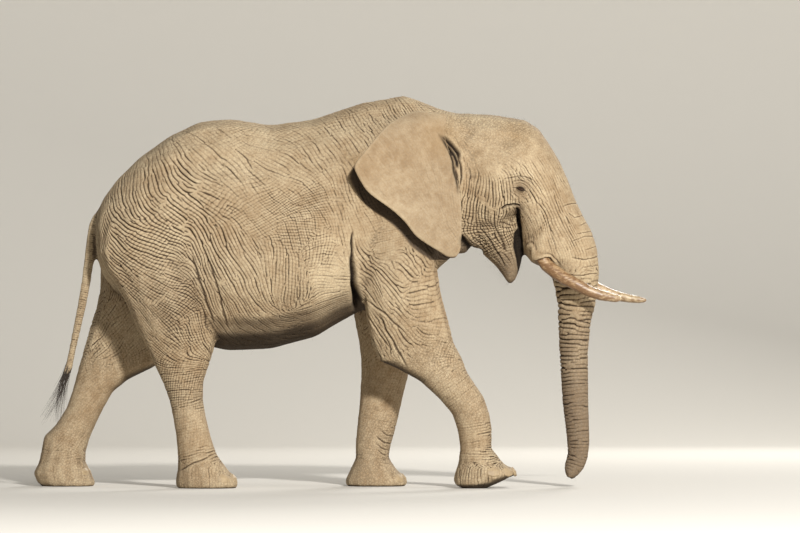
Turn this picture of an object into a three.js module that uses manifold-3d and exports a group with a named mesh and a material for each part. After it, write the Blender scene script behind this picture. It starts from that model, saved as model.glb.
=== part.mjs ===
// African bush elephant, adult bull, life size, standing in mid stride.
// Millimetres, +Z up, facing +X. The origin is the middle of the footprint, on the ground.
//
// The flesh is lofted from ribs, as a ship's hull is from its frames: each rib is a flat oval
// between two points of the side outline. Then it is parted where the body's parts are named.

import * as THREE from 'three';
import { mergeVertices } from 'three/addons/utils/BufferGeometryUtils.js';
import Module from 'manifold-3d';

const wasm = await Module();
wasm.setup();

// ---------------------------------------------------------------- driving dimensions

const GAP = 0.4; // between two pieces that touch
const END_GROWTH = 3; // gaps that a grown loft is longer by at each end
const FAR = 6000; // longer than the animal, for the blocks that part it

const NECK_CUT = { top: [640, 3300], bottom: [700, 1300] }; // torso to neck
const TRUNK_CUT = { top: [2090, 2170], bottom: [1590, 1740] }; // face to trunk
const TRUNK_LEVELS = [1450, 960, 470]; // the trunk's three joins, top to bottom
const KNEE_LEVEL = 990; // thigh to shank
const ELBOW_LEVEL = 1010; // upper arm to forearm
const FOOT_LEVEL = 262; // leg to foot
const TAIL_CUT_LEVEL = 1560;

const SIDES = { right: -1, left: 1 };
const EYE = { x: 1436, z: 2384, radius: 33, depth: 21 }; // depth: ball centre below the cheek

// Sides of each loft's rings, and parts of each ear's width.
const BARREL_SIDES = 20;
const HEAD_SIDES = 20;
const JAW_SIDES = 10;
const LEG_SIDES = 12;
const SOCKET_SIDES = 8;
const TUSK_SIDES = 8;
const TAIL_SIDES = 6;
const EAR_SECTIONS = 5;
const LEG_FULLNESS = 2.15;

const EAR_ROOT_THICKNESS = 44;
const EAR_RIM_THICKNESS = 15;
const EAR_EDGE = 0.03; // share of the width where the blade rounds off
const EAR_BOW = 0.65; // 0 is a flat ear, 1 bends most near its root

const HIDE = { color: 0x8f7f6b, roughness: 0.9, metalness: 0 };
const IVORY = { color: 0xd9c49c, roughness: 0.4, metalness: 0 };
const HORN = { color: 0xa8957c, roughness: 0.6, metalness: 0 };
const CORNEA = { color: 0x2b1a10, roughness: 0.05, metalness: 0 };
const HAIR = { color: 0x2a2521, roughness: 0.8, metalness: 0 };

// ---------------------------------------------------------------- ribs of each part
// [x, z of one end, x, z of the other end, half width, where the rib is widest (0..1 from
//  the first end), fullness towards the first end, fullness towards the second]
// Fullness 2 is an ellipse, less is pointed and more is square.

// Rump to poll: from the belly line to the back line.
const BARREL = [
  [-1946, 1990, -1946, 2130, 90, 0.5, 2.0, 2.0],
  [-1940, 1850, -1938, 2205, 250, 0.5, 2.2, 2.1],
  [-1900, 1700, -1890, 2310, 375, 0.46, 2.2, 2.0],
  [-1800, 1570, -1780, 2462, 470, 0.44, 2.2, 1.9],
  [-1640, 1430, -1600, 2640, 550, 0.44, 2.2, 1.85],
  [-1400, 1270, -1360, 2812, 610, 0.42, 2.2, 1.8],
  [-1160, 1150, -1120, 2926, 655, 0.4, 2.2, 1.75],
  [-900, 1092, -880, 2950, 695, 0.38, 2.2, 1.75],
  [-560, 1104, -560, 2900, 718, 0.38, 2.2, 1.75],
  [-200, 1200, -220, 2944, 695, 0.38, 2.2, 1.7],
  [-20, 1308, -10, 3016, 660, 0.38, 2.2, 1.65],
  [150, 1402, 180, 3078, 615, 0.38, 2.2, 1.65],
  [520, 1490, 520, 3137, 520, 0.42, 2.1, 1.7],
  [660, 1600, 650, 3088, 470, 0.45, 2.1, 1.75],
  [790, 1750, 770, 3040, 425, 0.48, 2.1, 1.85],
  [930, 1868, 900, 3000, 395, 0.5, 2.1, 2.0],
  [1060, 1880, 1040, 2972, 360, 0.5, 2.1, 2.0],
  [1150, 1930, 1140, 2920, 300, 0.5, 2.1, 2.0],
];

// Poll, face and trunk: from the throat, lip and back of the trunk to the crown and its front.
const HEAD = [
  [890, 2000, 860, 2985, 300, 0.5, 2.2, 2.0],
  [1010, 1960, 970, 2990, 350, 0.46, 2.3, 1.9],
  [1240, 1996, 1210, 2981, 405, 0.38, 2.5, 1.9],
  [1370, 2140, 1480, 2936, 412, 0.32, 2.7, 1.8],
  [1396, 2182, 1588, 2868, 405, 0.3, 2.7, 1.8],
  [1408, 2176, 1676, 2742, 385, 0.3, 2.6, 1.8],
  [1416, 2148, 1756, 2608, 350, 0.32, 2.4, 1.85],
  [1424, 2090, 1824, 2456, 312, 0.36, 2.3, 1.9],
  [1434, 2020, 1882, 2300, 284, 0.4, 2.2, 2.0],
  [1448, 1944, 1948, 2164, 272, 0.42, 2.2, 2.0],
  [1478, 1866, 2014, 2044, 266, 0.44, 2.3, 2.0],
  [1534, 1796, 2056, 1910, 250, 0.46, 2.3, 2.0],
  [1632, 1752, 2067, 1800, 222, 0.5, 2.2, 2.0],
  [1698, 1672, 2073, 1696, 198, 0.5, 2.1, 2.0],
  [1738, 1480, 2044, 1456, 160, 0.5, 2.0, 2.0],
  [1744, 1360, 2010, 1336, 139, 0.5, 2.0, 2.0],
  [1754, 1090, 1984, 1084, 119, 0.5, 2.0, 2.0],
  [1780, 680, 1987, 680, 106, 0.5, 2.0, 2.0],
  [1817, 370, 1996, 356, 90, 0.5, 2.0, 2.0],
  [1822, 264, 1982, 238, 80, 0.5, 2.0, 2.0],
  [1800, 190, 1952, 152, 70, 0.5, 2.0, 2.0],
  [1796, 136, 1904, 94, 58, 0.5, 2.0, 2.0],
  [1812, 84, 1852, 58, 34, 0.5, 2.0, 2.0],
];

// Lower jaw: from its underside to the mouth.
const JAW = [
  [1040, 2120, 1420, 2160, 290, 0.5, 2.2, 2.2],
  [1010, 1990, 1450, 2060, 268, 0.5, 2.2, 2.2],
  [1080, 1915, 1456, 1984, 226, 0.5, 2.1, 2.1],
  [1176, 1832, 1459, 1892, 172, 0.5, 2.0, 2.0],
  [1244, 1768, 1454, 1812, 130, 0.5, 2.0, 2.0],
  [1298, 1700, 1432, 1730, 98, 0.5, 2.0, 2.0],
  [1330, 1652, 1404, 1662, 62, 0.5, 2.0, 2.0],
  [1354, 1626, 1368, 1626, 20, 0.5, 2.0, 2.0],
];

// Legs: from the back edge to the front edge, then the inner and the outer face.
const LEGS = {
  fore_right: [
    [290, 2720, 560, 2740, 160, 330],
    [170, 2400, 690, 2420, 110, 530],
    [110, 2130, 760, 2150, 95, 596],
    [86, 1920, 790, 1900, 92, 606],
    [150, 1730, 780, 1730, 95, 592],
    [186, 1520, 812, 1530, 106, 566],
    [212, 1330, 868, 1330, 124, 536],
    [252, 1150, 912, 1150, 146, 508],
    [310, 1015, 972, 1045, 162, 492],
    [470, 945, 1018, 920, 170, 484],
    [640, 850, 1070, 840, 174, 480],
    [790, 712, 1148, 724, 176, 476],
    [896, 590, 1194, 586, 176, 472],
    [938, 456, 1214, 452, 174, 468],
    [958, 330, 1210, 322, 166, 468],
    [944, 200, 1304, 196, 124, 498],
    [914, 110, 1398, 138, 96, 524],
    [904, 62, 1366, 94, 88, 530],
    [920, 26, 1270, 44, 100, 514],
    [976, 0, 1170, 0, 160, 450],
  ],
  fore_left: [
    [290, 2720, 560, 2740, 160, 330],
    [160, 2400, 680, 2420, 110, 530],
    [100, 2130, 740, 2150, 95, 596],
    [64, 1700, 750, 1700, 95, 592],
    [80, 1500, 720, 1500, 106, 566],
    [112, 1340, 680, 1340, 124, 532],
    [142, 1190, 636, 1190, 146, 504],
    [162, 1050, 590, 1050, 160, 486],
    [166, 900, 556, 920, 170, 480],
    [160, 740, 512, 750, 174, 476],
    [146, 580, 476, 590, 176, 472],
    [130, 440, 440, 440, 174, 470],
    [122, 320, 404, 316, 168, 470],
    [124, 226, 392, 226, 142, 490],
    [84, 140, 448, 140, 104, 522],
    [44, 56, 524, 56, 84, 538],
    [40, 20, 536, 16, 86, 536],
    [62, 0, 516, 0, 104, 518],
  ],
  hind_right: [
    [-1700, 2390, -1240, 2410, 190, 400],
    [-1880, 2080, -1010, 2100, 110, 572],
    [-1922, 1880, -950, 1880, 90, 612],
    [-1870, 1740, -940, 1740, 86, 622],
    [-1770, 1590, -944, 1590, 92, 612],
    [-1690, 1450, -950, 1450, 104, 594],
    [-1610, 1260, -966, 1260, 126, 556],
    [-1536, 1110, -990, 1130, 146, 522],
    [-1470, 970, -1034, 990, 160, 496],
    [-1404, 830, -1082, 850, 168, 470],
    [-1356, 700, -1086, 700, 172, 458],
    [-1326, 560, -1062, 560, 174, 456],
    [-1300, 400, -1022, 400, 172, 462],
    [-1290, 270, -978, 270, 158, 478],
    [-1288, 160, -900, 160, 128, 508],
    [-1304, 70, -824, 70, 104, 530],
    [-1304, 24, -806, 24, 104, 530],
    [-1290, 0, -826, 0, 120, 514],
  ],
  hind_left: [
    [-1700, 2390, -1240, 2410, 190, 400],
    [-1880, 2080, -1010, 2100, 110, 572],
    [-1924, 1880, -960, 1880, 90, 612],
    [-1934, 1720, -980, 1720, 86, 622],
    [-1938, 1570, -1010, 1560, 92, 612],
    [-1972, 1420, -1080, 1400, 104, 590],
    [-2016, 1280, -1180, 1250, 124, 558],
    [-2056, 1140, -1320, 1110, 144, 524],
    [-2092, 1010, -1492, 960, 160, 496],
    [-2122, 890, -1700, 860, 168, 474],
    [-2154, 770, -1826, 760, 172, 462],
    [-2202, 630, -1906, 620, 172, 458],
    [-2290, 490, -1964, 500, 170, 460],
    [-2384, 400, -2008, 400, 166, 466],
    [-2404, 290, -2042, 290, 152, 482],
    [-2424, 190, -2048, 196, 126, 508],
    [-2468, 104, -2012, 120, 104, 530],
    [-2436, 30, -1968, 30, 104, 530],
    [-2400, 0, -1980, 0, 122, 512],
  ],
};

// Tail, down the middle of its back: [x, y, z, radius].
const TAIL = [
  [-1880, 0, 2190, 62],
  [-1936, 0, 2140, 56],
  [-1962, 4, 2090, 52],
  [-1986, 10, 1980, 47],
  [-2006, 16, 1830, 43],
  [-2032, 20, 1640, 40],
  [-2064, 18, 1460, 38],
  [-2106, 10, 1260, 34],
  [-2142, 2, 1090, 30],
  [-2168, -4, 960, 32],
  [-2198, -6, 900, 24],
];
const TUFT = [
  [-2202, -6, 892, 20],
  [-2240, -4, 840, 34],
  [-2276, 0, 770, 40],
  [-2300, 4, 690, 34],
  [-2324, 8, 600, 22],
  [-2344, 10, 540, 8],
];

// Tusks, from inside the socket to the tip: [x, distance from the middle, z, radius].
const TUSKS = {
  right: [
    [1560, 196, 1900, 50],
    [1650, 238, 1772, 54],
    [1716, 268, 1720, 55],
    [1790, 296, 1668, 54],
    [1880, 318, 1622, 51],
    [1984, 330, 1566, 47],
    [2080, 332, 1533, 43],
    [2204, 320, 1508, 33],
    [2236, 314, 1508, 20],
    [2246, 311, 1509, 8],
  ],
  left: [
    [1560, 196, 1920, 50],
    [1680, 246, 1790, 54],
    [1770, 280, 1732, 54],
    [1880, 312, 1676, 52],
    [2000, 334, 1622, 49],
    [2120, 342, 1566, 45],
    [2240, 336, 1524, 40],
    [2336, 324, 1506, 35],
    [2410, 312, 1497, 28],
    [2450, 304, 1495, 18],
    [2462, 301, 1495, 8],
  ],
};

// Swelling over each tusk socket, below the eye: [x, distance from the middle, z, radius].
const SOCKET = [
  [1660, 168, 2250, 76],
  [1640, 186, 2100, 92],
  [1618, 200, 1960, 98],
  [1606, 212, 1862, 92],
  [1604, 216, 1806, 70],
];

// Ear, level by level: [z, x of its front edge, x of its rim, distance from the middle at the
// front edge, how much further out the rim stands].
const EAR = [
  [3000, 860, 600, 170, 90],
  [2920, 880, 420, 262, 196],
  [2832, 830, 328, 322, 250],
  [2740, 850, 252, 356, 296],
  [2600, 908, 138, 372, 344],
  [2544, 916, 104, 378, 360],
  [2500, 926, 130, 384, 362],
  [2390, 952, 188, 404, 352],
  [2330, 962, 240, 418, 338],
  [2270, 968, 328, 436, 318],
  [2200, 970, 426, 456, 296],
  [2130, 970, 504, 474, 268],
  [1990, 970, 610, 504, 196],
  [1938, 966, 690, 512, 154],
  [1884, 956, 780, 518, 104],
  [1848, 942, 840, 520, 60],
  [1830, 916, 868, 520, 24],
];

// Nails: degrees from straight ahead, towards the outside of the foot. Each is sunk in the foot,
// leans back by lean, and is shaped on a round foot of that reach before it is fitted.
const NAIL_ANGLES = { fore: [-34, 4, 40, 74], hind: [-30, 10, 50] };
const NAIL = { width: 62, height: 46, thickness: 20, sunk: 12, lean: 0.42, reach: 230 };
const NAIL_RIB_BELOW = 112; // the foot's rib that carries them is the first under this height
const NAIL_LIFT = 6; // above that rib

// ---------------------------------------------------------------- lofting

// Closed mesh over a row of rings with equally many points, closed by a fan at each end.
// A grown one is longer at both ends too.
function skinned(rings, grow = 0) {
  const sides = rings[0].length;
  const middles = rings.map((ring) => average(ring));
  const last = rings.length - 1;
  for (const [end, inward] of [[0, 1], [last, last - 1]]) {
    const outward = middles[end].clone().sub(middles[inward]).setLength(END_GROWTH * grow);
    rings[end].forEach((point) => point.add(outward));
  }
  const points = rings.flat();
  const faces = [];
  for (let r = 0; r + 1 < rings.length; r++) {
    for (let s = 0; s < sides; s++) {
      const [a, b] = [r * sides + s, r * sides + ((s + 1) % sides)];
      faces.push(a, b, a + sides, b, b + sides, a + sides);
    }
  }
  for (const [ring, flip] of [[0, true], [rings.length - 1, false]]) {
    const centre = points.push(average(rings[ring])) - 1;
    for (let s = 0; s < sides; s++) {
      const [a, b] = [ring * sides + s, ring * sides + ((s + 1) % sides)];
      faces.push(...(flip ? [b, a, centre] : [a, b, centre]));
    }
  }
  const geometry = new THREE.BufferGeometry().setFromPoints(points);
  geometry.setIndex(faces);
  return solid(geometry);
}

function average(ring) {
  return ring.reduce((sum, p) => sum.add(p), new THREE.Vector3()).divideScalar(ring.length);
}

// Manifold solid of a closed geometry, turned the right way out.
function solid(geometry) {
  geometry.deleteAttribute('normal');
  geometry.deleteAttribute('uv');
  const merged = mergeVertices(geometry, 1e-3);
  const vertProperties = Float32Array.from(merged.attributes.position.array);
  const triVerts = Uint32Array.from(merged.index.array);
  if (signedVolume(vertProperties, triVerts) < 0) {
    for (let i = 0; i < triVerts.length; i += 3) {
      [triVerts[i], triVerts[i + 1]] = [triVerts[i + 1], triVerts[i]];
    }
  }
  return new wasm.Manifold(new wasm.Mesh({ numProp: 3, vertProperties, triVerts }));
}

function signedVolume(places, triangles) {
  const corner = (i) => new THREE.Vector3().fromArray(places, triangles[i] * 3);
  let six = 0;
  for (let i = 0; i < triangles.length; i += 3) {
    six += corner(i).dot(corner(i + 1).cross(corner(i + 2)));
  }
  return six / 6;
}

// Point of an oval at an angle: 1 at angle 0, -1 at half a turn, with its own fullness each way.
function oval(angle, towardsFirst, towardsSecond) {
  const along = Math.cos(angle);
  const across = Math.sin(angle);
  const power = 2 / (along < 0 ? towardsFirst : towardsSecond);
  return [
    Math.sign(along) * Math.abs(along) ** power,
    Math.sign(across) * Math.abs(across) ** power,
  ];
}

// Loft of the middle body: ribs across the mid plane.
function hull(ribs, sides, grow = 0) {
  const rings = ribs.map(([ax, az, bx, bz, half, widest, first, second]) => {
    const a = new THREE.Vector3(ax, 0, az);
    const b = new THREE.Vector3(bx, 0, bz);
    const way = b.clone().sub(a).normalize();
    a.addScaledVector(way, -grow);
    b.addScaledVector(way, grow);
    const waist = a.clone().lerp(b, widest);
    const ring = [];
    for (let s = 0; s < sides; s++) {
      const [along, across] = oval((s / sides) * 2 * Math.PI, first, second);
      const place = waist.clone().lerp(along < 0 ? a : b, Math.abs(along));
      place.y = across * (half + grow);
      ring.push(place);
    }
    return ring;
  });
  return skinned(rings, grow);
}

// Loft of one leg: ribs from back to front, with an inner and an outer face. side is 1 or -1.
function leg(ribs, side, grow = 0) {
  const rings = ribs.map(([ax, az, bx, bz, inner, outer]) => {
    const middle = new THREE.Vector3((ax + bx) / 2, (side * (inner + outer)) / 2, (az + bz) / 2);
    const reach = new THREE.Vector3((bx - ax) / 2, 0, (bz - az) / 2);
    reach.setLength(reach.length() + grow);
    const ring = [];
    for (let s = 0; s < LEG_SIDES; s++) {
      const [along, across] = oval((s / LEG_SIDES) * 2 * Math.PI, LEG_FULLNESS, LEG_FULLNESS);
      const place = middle.clone().addScaledVector(reach, along);
      place.y += across * ((outer - inner) / 2 + grow);
      ring.push(place);
    }
    return ring;
  });
  return skinned(rings, grow);
}

// Round, bent, tapering piece through [x, y, z, radius] knots.
function horn(knots, sides, side = 1, grow = 0) {
  const centres = knots.map(([x, y, z]) => new THREE.Vector3(x, y * side, z));
  const rings = centres.map((centre, i) => {
    const before = centres[Math.max(0, i - 1)];
    const after = centres[Math.min(centres.length - 1, i + 1)];
    const radius = knots[i][3] + grow;
    const way = after.clone().sub(before).normalize();
    const right = new THREE.Vector3(0, 1, 0).addScaledVector(way, -way.y).normalize();
    const up = way.clone().cross(right);
    const ring = [];
    for (let s = 0; s < sides; s++) {
      const angle = (s / sides) * 2 * Math.PI;
      const place = centre.clone().addScaledVector(right, radius * Math.cos(angle));
      ring.push(place.addScaledVector(up, radius * Math.sin(angle)));
    }
    return ring;
  });
  return skinned(rings, grow);
}

// Ear: a bent blade, thick at its root and thin at its rim, which stands off the neck.
function ear(side) {
  const rings = EAR.map(([z, front, rim, stand, flare]) => {
    const ring = [];
    for (let s = 0; s < 2 * EAR_SECTIONS; s++) {
      const outward = s <= EAR_SECTIONS ? 1 : -1;
      const share = s <= EAR_SECTIONS ? s / EAR_SECTIONS : 2 - s / EAR_SECTIONS;
      const lens = Math.sin(Math.PI * THREE.MathUtils.clamp(share, EAR_EDGE, 1 - EAR_EDGE));
      const half = THREE.MathUtils.lerp(EAR_ROOT_THICKNESS, EAR_RIM_THICKNESS, share) / 2;
      const bow = EAR_BOW * Math.sin((share * Math.PI) / 2) + (1 - EAR_BOW) * share;
      const x = THREE.MathUtils.lerp(front, rim, share);
      const y = stand + flare * bow + outward * half * Math.sqrt(lens);
      ring.push(new THREE.Vector3(x, side * y, z));
    }
    return ring;
  });
  return skinned(rings);
}

// ---------------------------------------------------------------- parting

// Block on one side of a slanted plane that runs across the body through two side points.
function beyond({ top, bottom }, forward) {
  const [tx, tz] = top;
  const [bx, bz] = bottom;
  const tilt = Math.atan2(tx - bx, tz - bz);
  const block = new THREE.BoxGeometry(FAR, FAR, FAR);
  block.translate(forward * (FAR / 2 + GAP / 2), 0, 0);
  block.rotateY(tilt);
  block.translate((tx + bx) / 2, 0, (tz + bz) / 2);
  return solid(block);
}

// Slab between two heights.
function slab(low, high) {
  const [floor, ceiling] = [low + GAP / 2, high - GAP / 2];
  const block = new THREE.BoxGeometry(2 * FAR, FAR, ceiling - floor);
  block.translate(0, 0, (floor + ceiling) / 2);
  return solid(block);
}

// Largest of the bodies that a cut leaves.
function largest(body) {
  const bodies = body.decompose();
  return bodies.sort((a, b) => b.volume() - a.volume())[0];
}

// Adds a solid to the model as a named mesh.
function place(name, body, look) {
  const { vertProperties, triVerts } = largest(body).getMesh();
  const geometry = new THREE.BufferGeometry();
  geometry.setAttribute('position', new THREE.BufferAttribute(vertProperties.slice(), 3));
  geometry.setIndex(new THREE.BufferAttribute(triVerts.slice(), 1));
  geometry.computeVertexNormals();
  const mesh = new THREE.Mesh(geometry, new THREE.MeshStandardMaterial(look));
  mesh.name = name;
  model.add(mesh);
}

// ---------------------------------------------------------------- nails, eyes

// Nail: a flattened dome set into the front of the foot, on its widest rib.
function nail([ax, az, bx, bz, inner, outer], side, degrees, grow = 0) {
  const shape = new THREE.SphereGeometry(1, 6, 4);
  shape.scale(NAIL.thickness + grow, NAIL.width + grow, NAIL.height + grow);
  shape.rotateY(-NAIL.lean);
  shape.translate(NAIL.reach - NAIL.sunk, 0, 0);
  shape.rotateZ(THREE.MathUtils.degToRad(degrees) * side);
  shape.scale((bx - ax) / 2 / NAIL.reach, (outer - inner) / 2 / NAIL.reach, 1);
  shape.translate((ax + bx) / 2, (side * (inner + outer)) / 2, (az + bz) / 2 + NAIL_LIFT);
  return solid(shape);
}

// Half width of the head at a place of its side.
function cheekAt(x, z) {
  const probe = new THREE.BoxGeometry(2, FAR, 2);
  probe.translate(x, 0, z);
  return headWhole.intersect(solid(probe)).boundingBox().max[1];
}

// Eyeball, or the socket it lies in.
function eyeball(side, grow = 0) {
  const ball = new THREE.SphereGeometry(EYE.radius + grow, 8, 6);
  ball.translate(EYE.x, side * (cheekAt(EYE.x, EYE.z) - EYE.depth), EYE.z);
  return solid(ball);
}

// ---------------------------------------------------------------- assembly

const model = new THREE.Group();
const barrel = hull(BARREL, BARREL_SIDES);
const barrelGrown = hull(BARREL, BARREL_SIDES, GAP);
const face = hull(HEAD, HEAD_SIDES);
const faceGrown = hull(HEAD, HEAD_SIDES, GAP);
const sockets = Object.values(SIDES).map((side) => horn(SOCKET, SOCKET_SIDES, side));
const socketsGrown = Object.values(SIDES).map((side) => horn(SOCKET, SOCKET_SIDES, side, GAP));
const headWhole = sockets.reduce((sum, part) => sum.add(part), face);
const headGrown = socketsGrown.reduce((sum, part) => sum.add(part), faceGrown);

let torso = barrel;
let neck = barrel;
const jaw = hull(JAW, JAW_SIDES);
let head = headWhole.intersect(beyond(TRUNK_CUT, -1));
let trunk = headWhole.intersect(beyond(TRUNK_CUT, 1));

for (const [name, ribs] of Object.entries(LEGS)) {
  const [pair, sideName] = name.split('_');
  const side = SIDES[sideName];
  const whole = leg(ribs, side);
  const grown = leg(ribs, side, GAP);
  torso = torso.subtract(grown);
  neck = neck.subtract(grown);
  const bend = pair === 'fore' ? ELBOW_LEVEL : KNEE_LEVEL;
  place(`${pair}_leg_${sideName}_upper`, whole.intersect(slab(bend, FAR)), HIDE);
  place(`${pair}_leg_${sideName}_lower`, whole.intersect(slab(FOOT_LEVEL, bend)), HIDE);
  let foot = whole.intersect(slab(-GAP / 2, FOOT_LEVEL));
  const nailRib = ribs.find((rib) => rib[1] < NAIL_RIB_BELOW);
  NAIL_ANGLES[pair].forEach((degrees, i) => {
    place(`${pair}_nail_${sideName}_${i + 1}`, nail(nailRib, side, degrees), HORN);
    foot = foot.subtract(nail(nailRib, side, degrees, GAP));
  });
  place(`${pair}_foot_${sideName}`, foot, HIDE);
}

for (const [sideName, side] of Object.entries(SIDES)) {
  const tusk = TUSKS[sideName];
  place(`tusk_${sideName}`, horn(tusk, TUSK_SIDES, side), IVORY);
  head = head.subtract(horn(tusk, TUSK_SIDES, side, GAP));
  trunk = trunk.subtract(horn(tusk, TUSK_SIDES, side, GAP));
  place(`eye_${sideName}`, eyeball(side), CORNEA);
  head = head.subtract(eyeball(side, GAP));
  place(`ear_${sideName}`, ear(side).subtract(headGrown).subtract(barrelGrown), HIDE);
}

torso = torso.subtract(headGrown).intersect(beyond(NECK_CUT, -1));
neck = neck.subtract(headGrown).intersect(beyond(NECK_CUT, 1)).subtract(hull(JAW, JAW_SIDES, GAP));
place('torso', torso, HIDE);
place('neck', neck, HIDE);
place('head', head, HIDE);
place('lower_jaw', jaw.subtract(headGrown), HIDE);

const trunkNames = ['trunk_upper', 'trunk_middle', 'trunk_lower', 'trunk_tip'];
trunkNames.forEach((name, i) => {
  const high = i === 0 ? FAR : TRUNK_LEVELS[i - 1];
  const low = i === TRUNK_LEVELS.length ? -FAR : TRUNK_LEVELS[i];
  place(name, trunk.intersect(slab(low, high)), HIDE);
});

const tail = horn(TAIL, TAIL_SIDES).subtract(barrelGrown);
place('tail_base', tail.intersect(slab(TAIL_CUT_LEVEL, FAR)), HIDE);
place('tail_end', tail.intersect(slab(-FAR, TAIL_CUT_LEVEL)), HIDE);
place('tail_tuft', horn(TUFT, TAIL_SIDES).subtract(horn(TAIL, TAIL_SIDES, 1, GAP)), HAIR);

export default model;
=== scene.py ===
"""Looks of a life-size African elephant bull, walking, built round its solid frame.

The flesh of the frame is covered by one skin with the folds and creases of the animal's hide.
Tusks, eyes, nails and hair are pieces of their own. Lengths are in metres and the animal faces
along +X, with its right side towards -Y.
"""

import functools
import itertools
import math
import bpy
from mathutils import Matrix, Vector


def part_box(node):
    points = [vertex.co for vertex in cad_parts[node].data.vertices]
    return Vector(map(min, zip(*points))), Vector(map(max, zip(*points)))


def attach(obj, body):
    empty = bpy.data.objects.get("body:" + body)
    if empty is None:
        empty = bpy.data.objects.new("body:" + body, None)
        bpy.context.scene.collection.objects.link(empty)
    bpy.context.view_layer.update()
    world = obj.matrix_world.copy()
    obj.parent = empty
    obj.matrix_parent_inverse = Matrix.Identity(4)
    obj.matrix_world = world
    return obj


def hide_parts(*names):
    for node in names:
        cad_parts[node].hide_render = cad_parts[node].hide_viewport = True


bl_info = {
    "name": "African Elephant Figure",
    "version": (1, 0, 0),
    "blender": (4, 5, 0),
    "location": "View3D > Sidebar > Elephant",
    "description": "Builds the skin, tusks, eyes, nails and hair of a walking African elephant",
    "category": "Object",
}

import bpy
import numpy as np
from bpy.props import FloatProperty, FloatVectorProperty, IntProperty, PointerProperty
from bpy.types import NodeSocket, Operator, Panel, PropertyGroup
from mathutils import Vector
from mathutils.bvhtree import BVHTree

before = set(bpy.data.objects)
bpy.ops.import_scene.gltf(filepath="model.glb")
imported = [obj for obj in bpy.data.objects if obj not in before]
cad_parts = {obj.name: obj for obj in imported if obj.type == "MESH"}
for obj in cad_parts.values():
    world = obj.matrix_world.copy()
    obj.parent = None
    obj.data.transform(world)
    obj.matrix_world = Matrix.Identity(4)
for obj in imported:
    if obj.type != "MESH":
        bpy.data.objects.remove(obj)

MM = 0.001
TURN = 2 * math.pi
MAP_NAME = "OFBake"
SIDES = {"right": -1, "left": 1}

# ------------------------------------------------------------------ shape of the animal

NOT_FLESH = ("tusk", "eye", "fore_nail", "hind_nail", "tail_tuft")
FILLED = ("eye", "fore_nail", "hind_nail")  # their beds are closed before the skin is made

# How widely the facets of each part are rounded off, in millimetres.
ROUNDING = {
    "torso": 62,
    "neck": 55,
    "head": 30,
    "lower_jaw": 14,
    "trunk_upper": 26,
    "trunk_middle": 18,
    "trunk_lower": 15,
    "trunk_tip": 6,
    "fore_leg": 34,
    "hind_leg": 34,
    "fore_foot": 14,
    "hind_foot": 14,
    "tail": 7,
}

# Middle line of the trunk, from the top down: x, z.
TRUNK_LINE = (
    (1.700, 2.054),
    (1.795, 1.853),
    (1.885, 1.684),
    (1.891, 1.468),
    (1.872, 1.200),
    (1.869, 1.000),
    (1.884, 0.680),
    (1.906, 0.363),
    (1.902, 0.251),
    (1.876, 0.171),
    (1.832, 0.071),
)
TRUNK_START = 1.5  # x that all of the trunk lies in front of
BEHIND_TRUNK = 1.45  # x that all of the legs lie behind
BEHIND_FORE_LEGS = -0.2  # x between the fore and the hind legs
TRUNK_FRONT = ((1.60, 2.10), (1.70, 2.08), (1.99, 2.03), (2.26, 1.90), (2.40, 1.80))  # z, x

# Middle lines of the legs, from the top down: side, then all x, then all z.
LEG_LINES = (
    (-1, (0.465, 0.54, 0.64, 0.855, 1.045, 1.084, 1.095), (1.73, 1.33, 1.03, 0.845, 0.588, 0.326, 0.0)),
    (1, (0.407, 0.396, 0.376, 0.336, 0.285, 0.258, 0.288), (1.70, 1.34, 1.05, 0.745, 0.44, 0.226, 0.0)),
    (-1, (-1.36, -1.288, -1.252, -1.221, -1.161, -1.094, -1.055), (1.59, 1.26, 0.98, 0.70, 0.40, 0.16, 0.0)),
    (1, (-1.474, -1.60, -1.79, -1.99, -2.127, -2.223, -2.22), (1.565, 1.265, 0.985, 0.765, 0.495, 0.29, 0.0)),
)
LEG_MIDDLE = 0.31  # of each leg, from the middle of the body

# Swellings and hollows of both sides: x, z, tilt, half length, half width, height in millimetres.
FORMS = (
    (-1.32, 2.70, 42, 0.26, 0.10, 22),  # hip bone under the skin
    (-1.00, 2.56, 30, 0.24, 0.14, -16),  # loin in front of it
    (-0.30, 2.05, 0, 0.55, 0.42, 12),  # ribs
    (0.02, 2.30, 80, 0.40, 0.07, -12),  # behind the shoulder
    (0.36, 1.48, -60, 0.30, 0.16, 14),  # upper arm
    (-1.42, 1.58, -50, 0.34, 0.20, 16),  # thigh
    (-0.96, 1.52, -64, 0.26, 0.07, -16),  # flank
    (-1.86, 2.16, 60, 0.16, 0.08, 14),  # seat bone
    (1.32, 2.75, 30, 0.12, 0.085, -20),  # temple
    (1.45, 2.475, 12, 0.07, 0.022, 10),  # brow
    (1.21, 2.50, -15, 0.11, 0.055, 15),  # cheek bone
    (1.12, 2.20, 80, 0.12, 0.09, 9),  # jaw muscle
    (1.06, 2.74, 60, 0.14, 0.05, 8),  # behind the temple
)

# The long fold before the front edge of each ear, from the top down: all x, then all z.
EAR_FOLD = ((0.768, 0.824, 0.872, 0.9, 0.92, 0.938, 0.944), (2.848, 2.768, 2.69, 2.6, 2.50, 2.39, 2.3))

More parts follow.
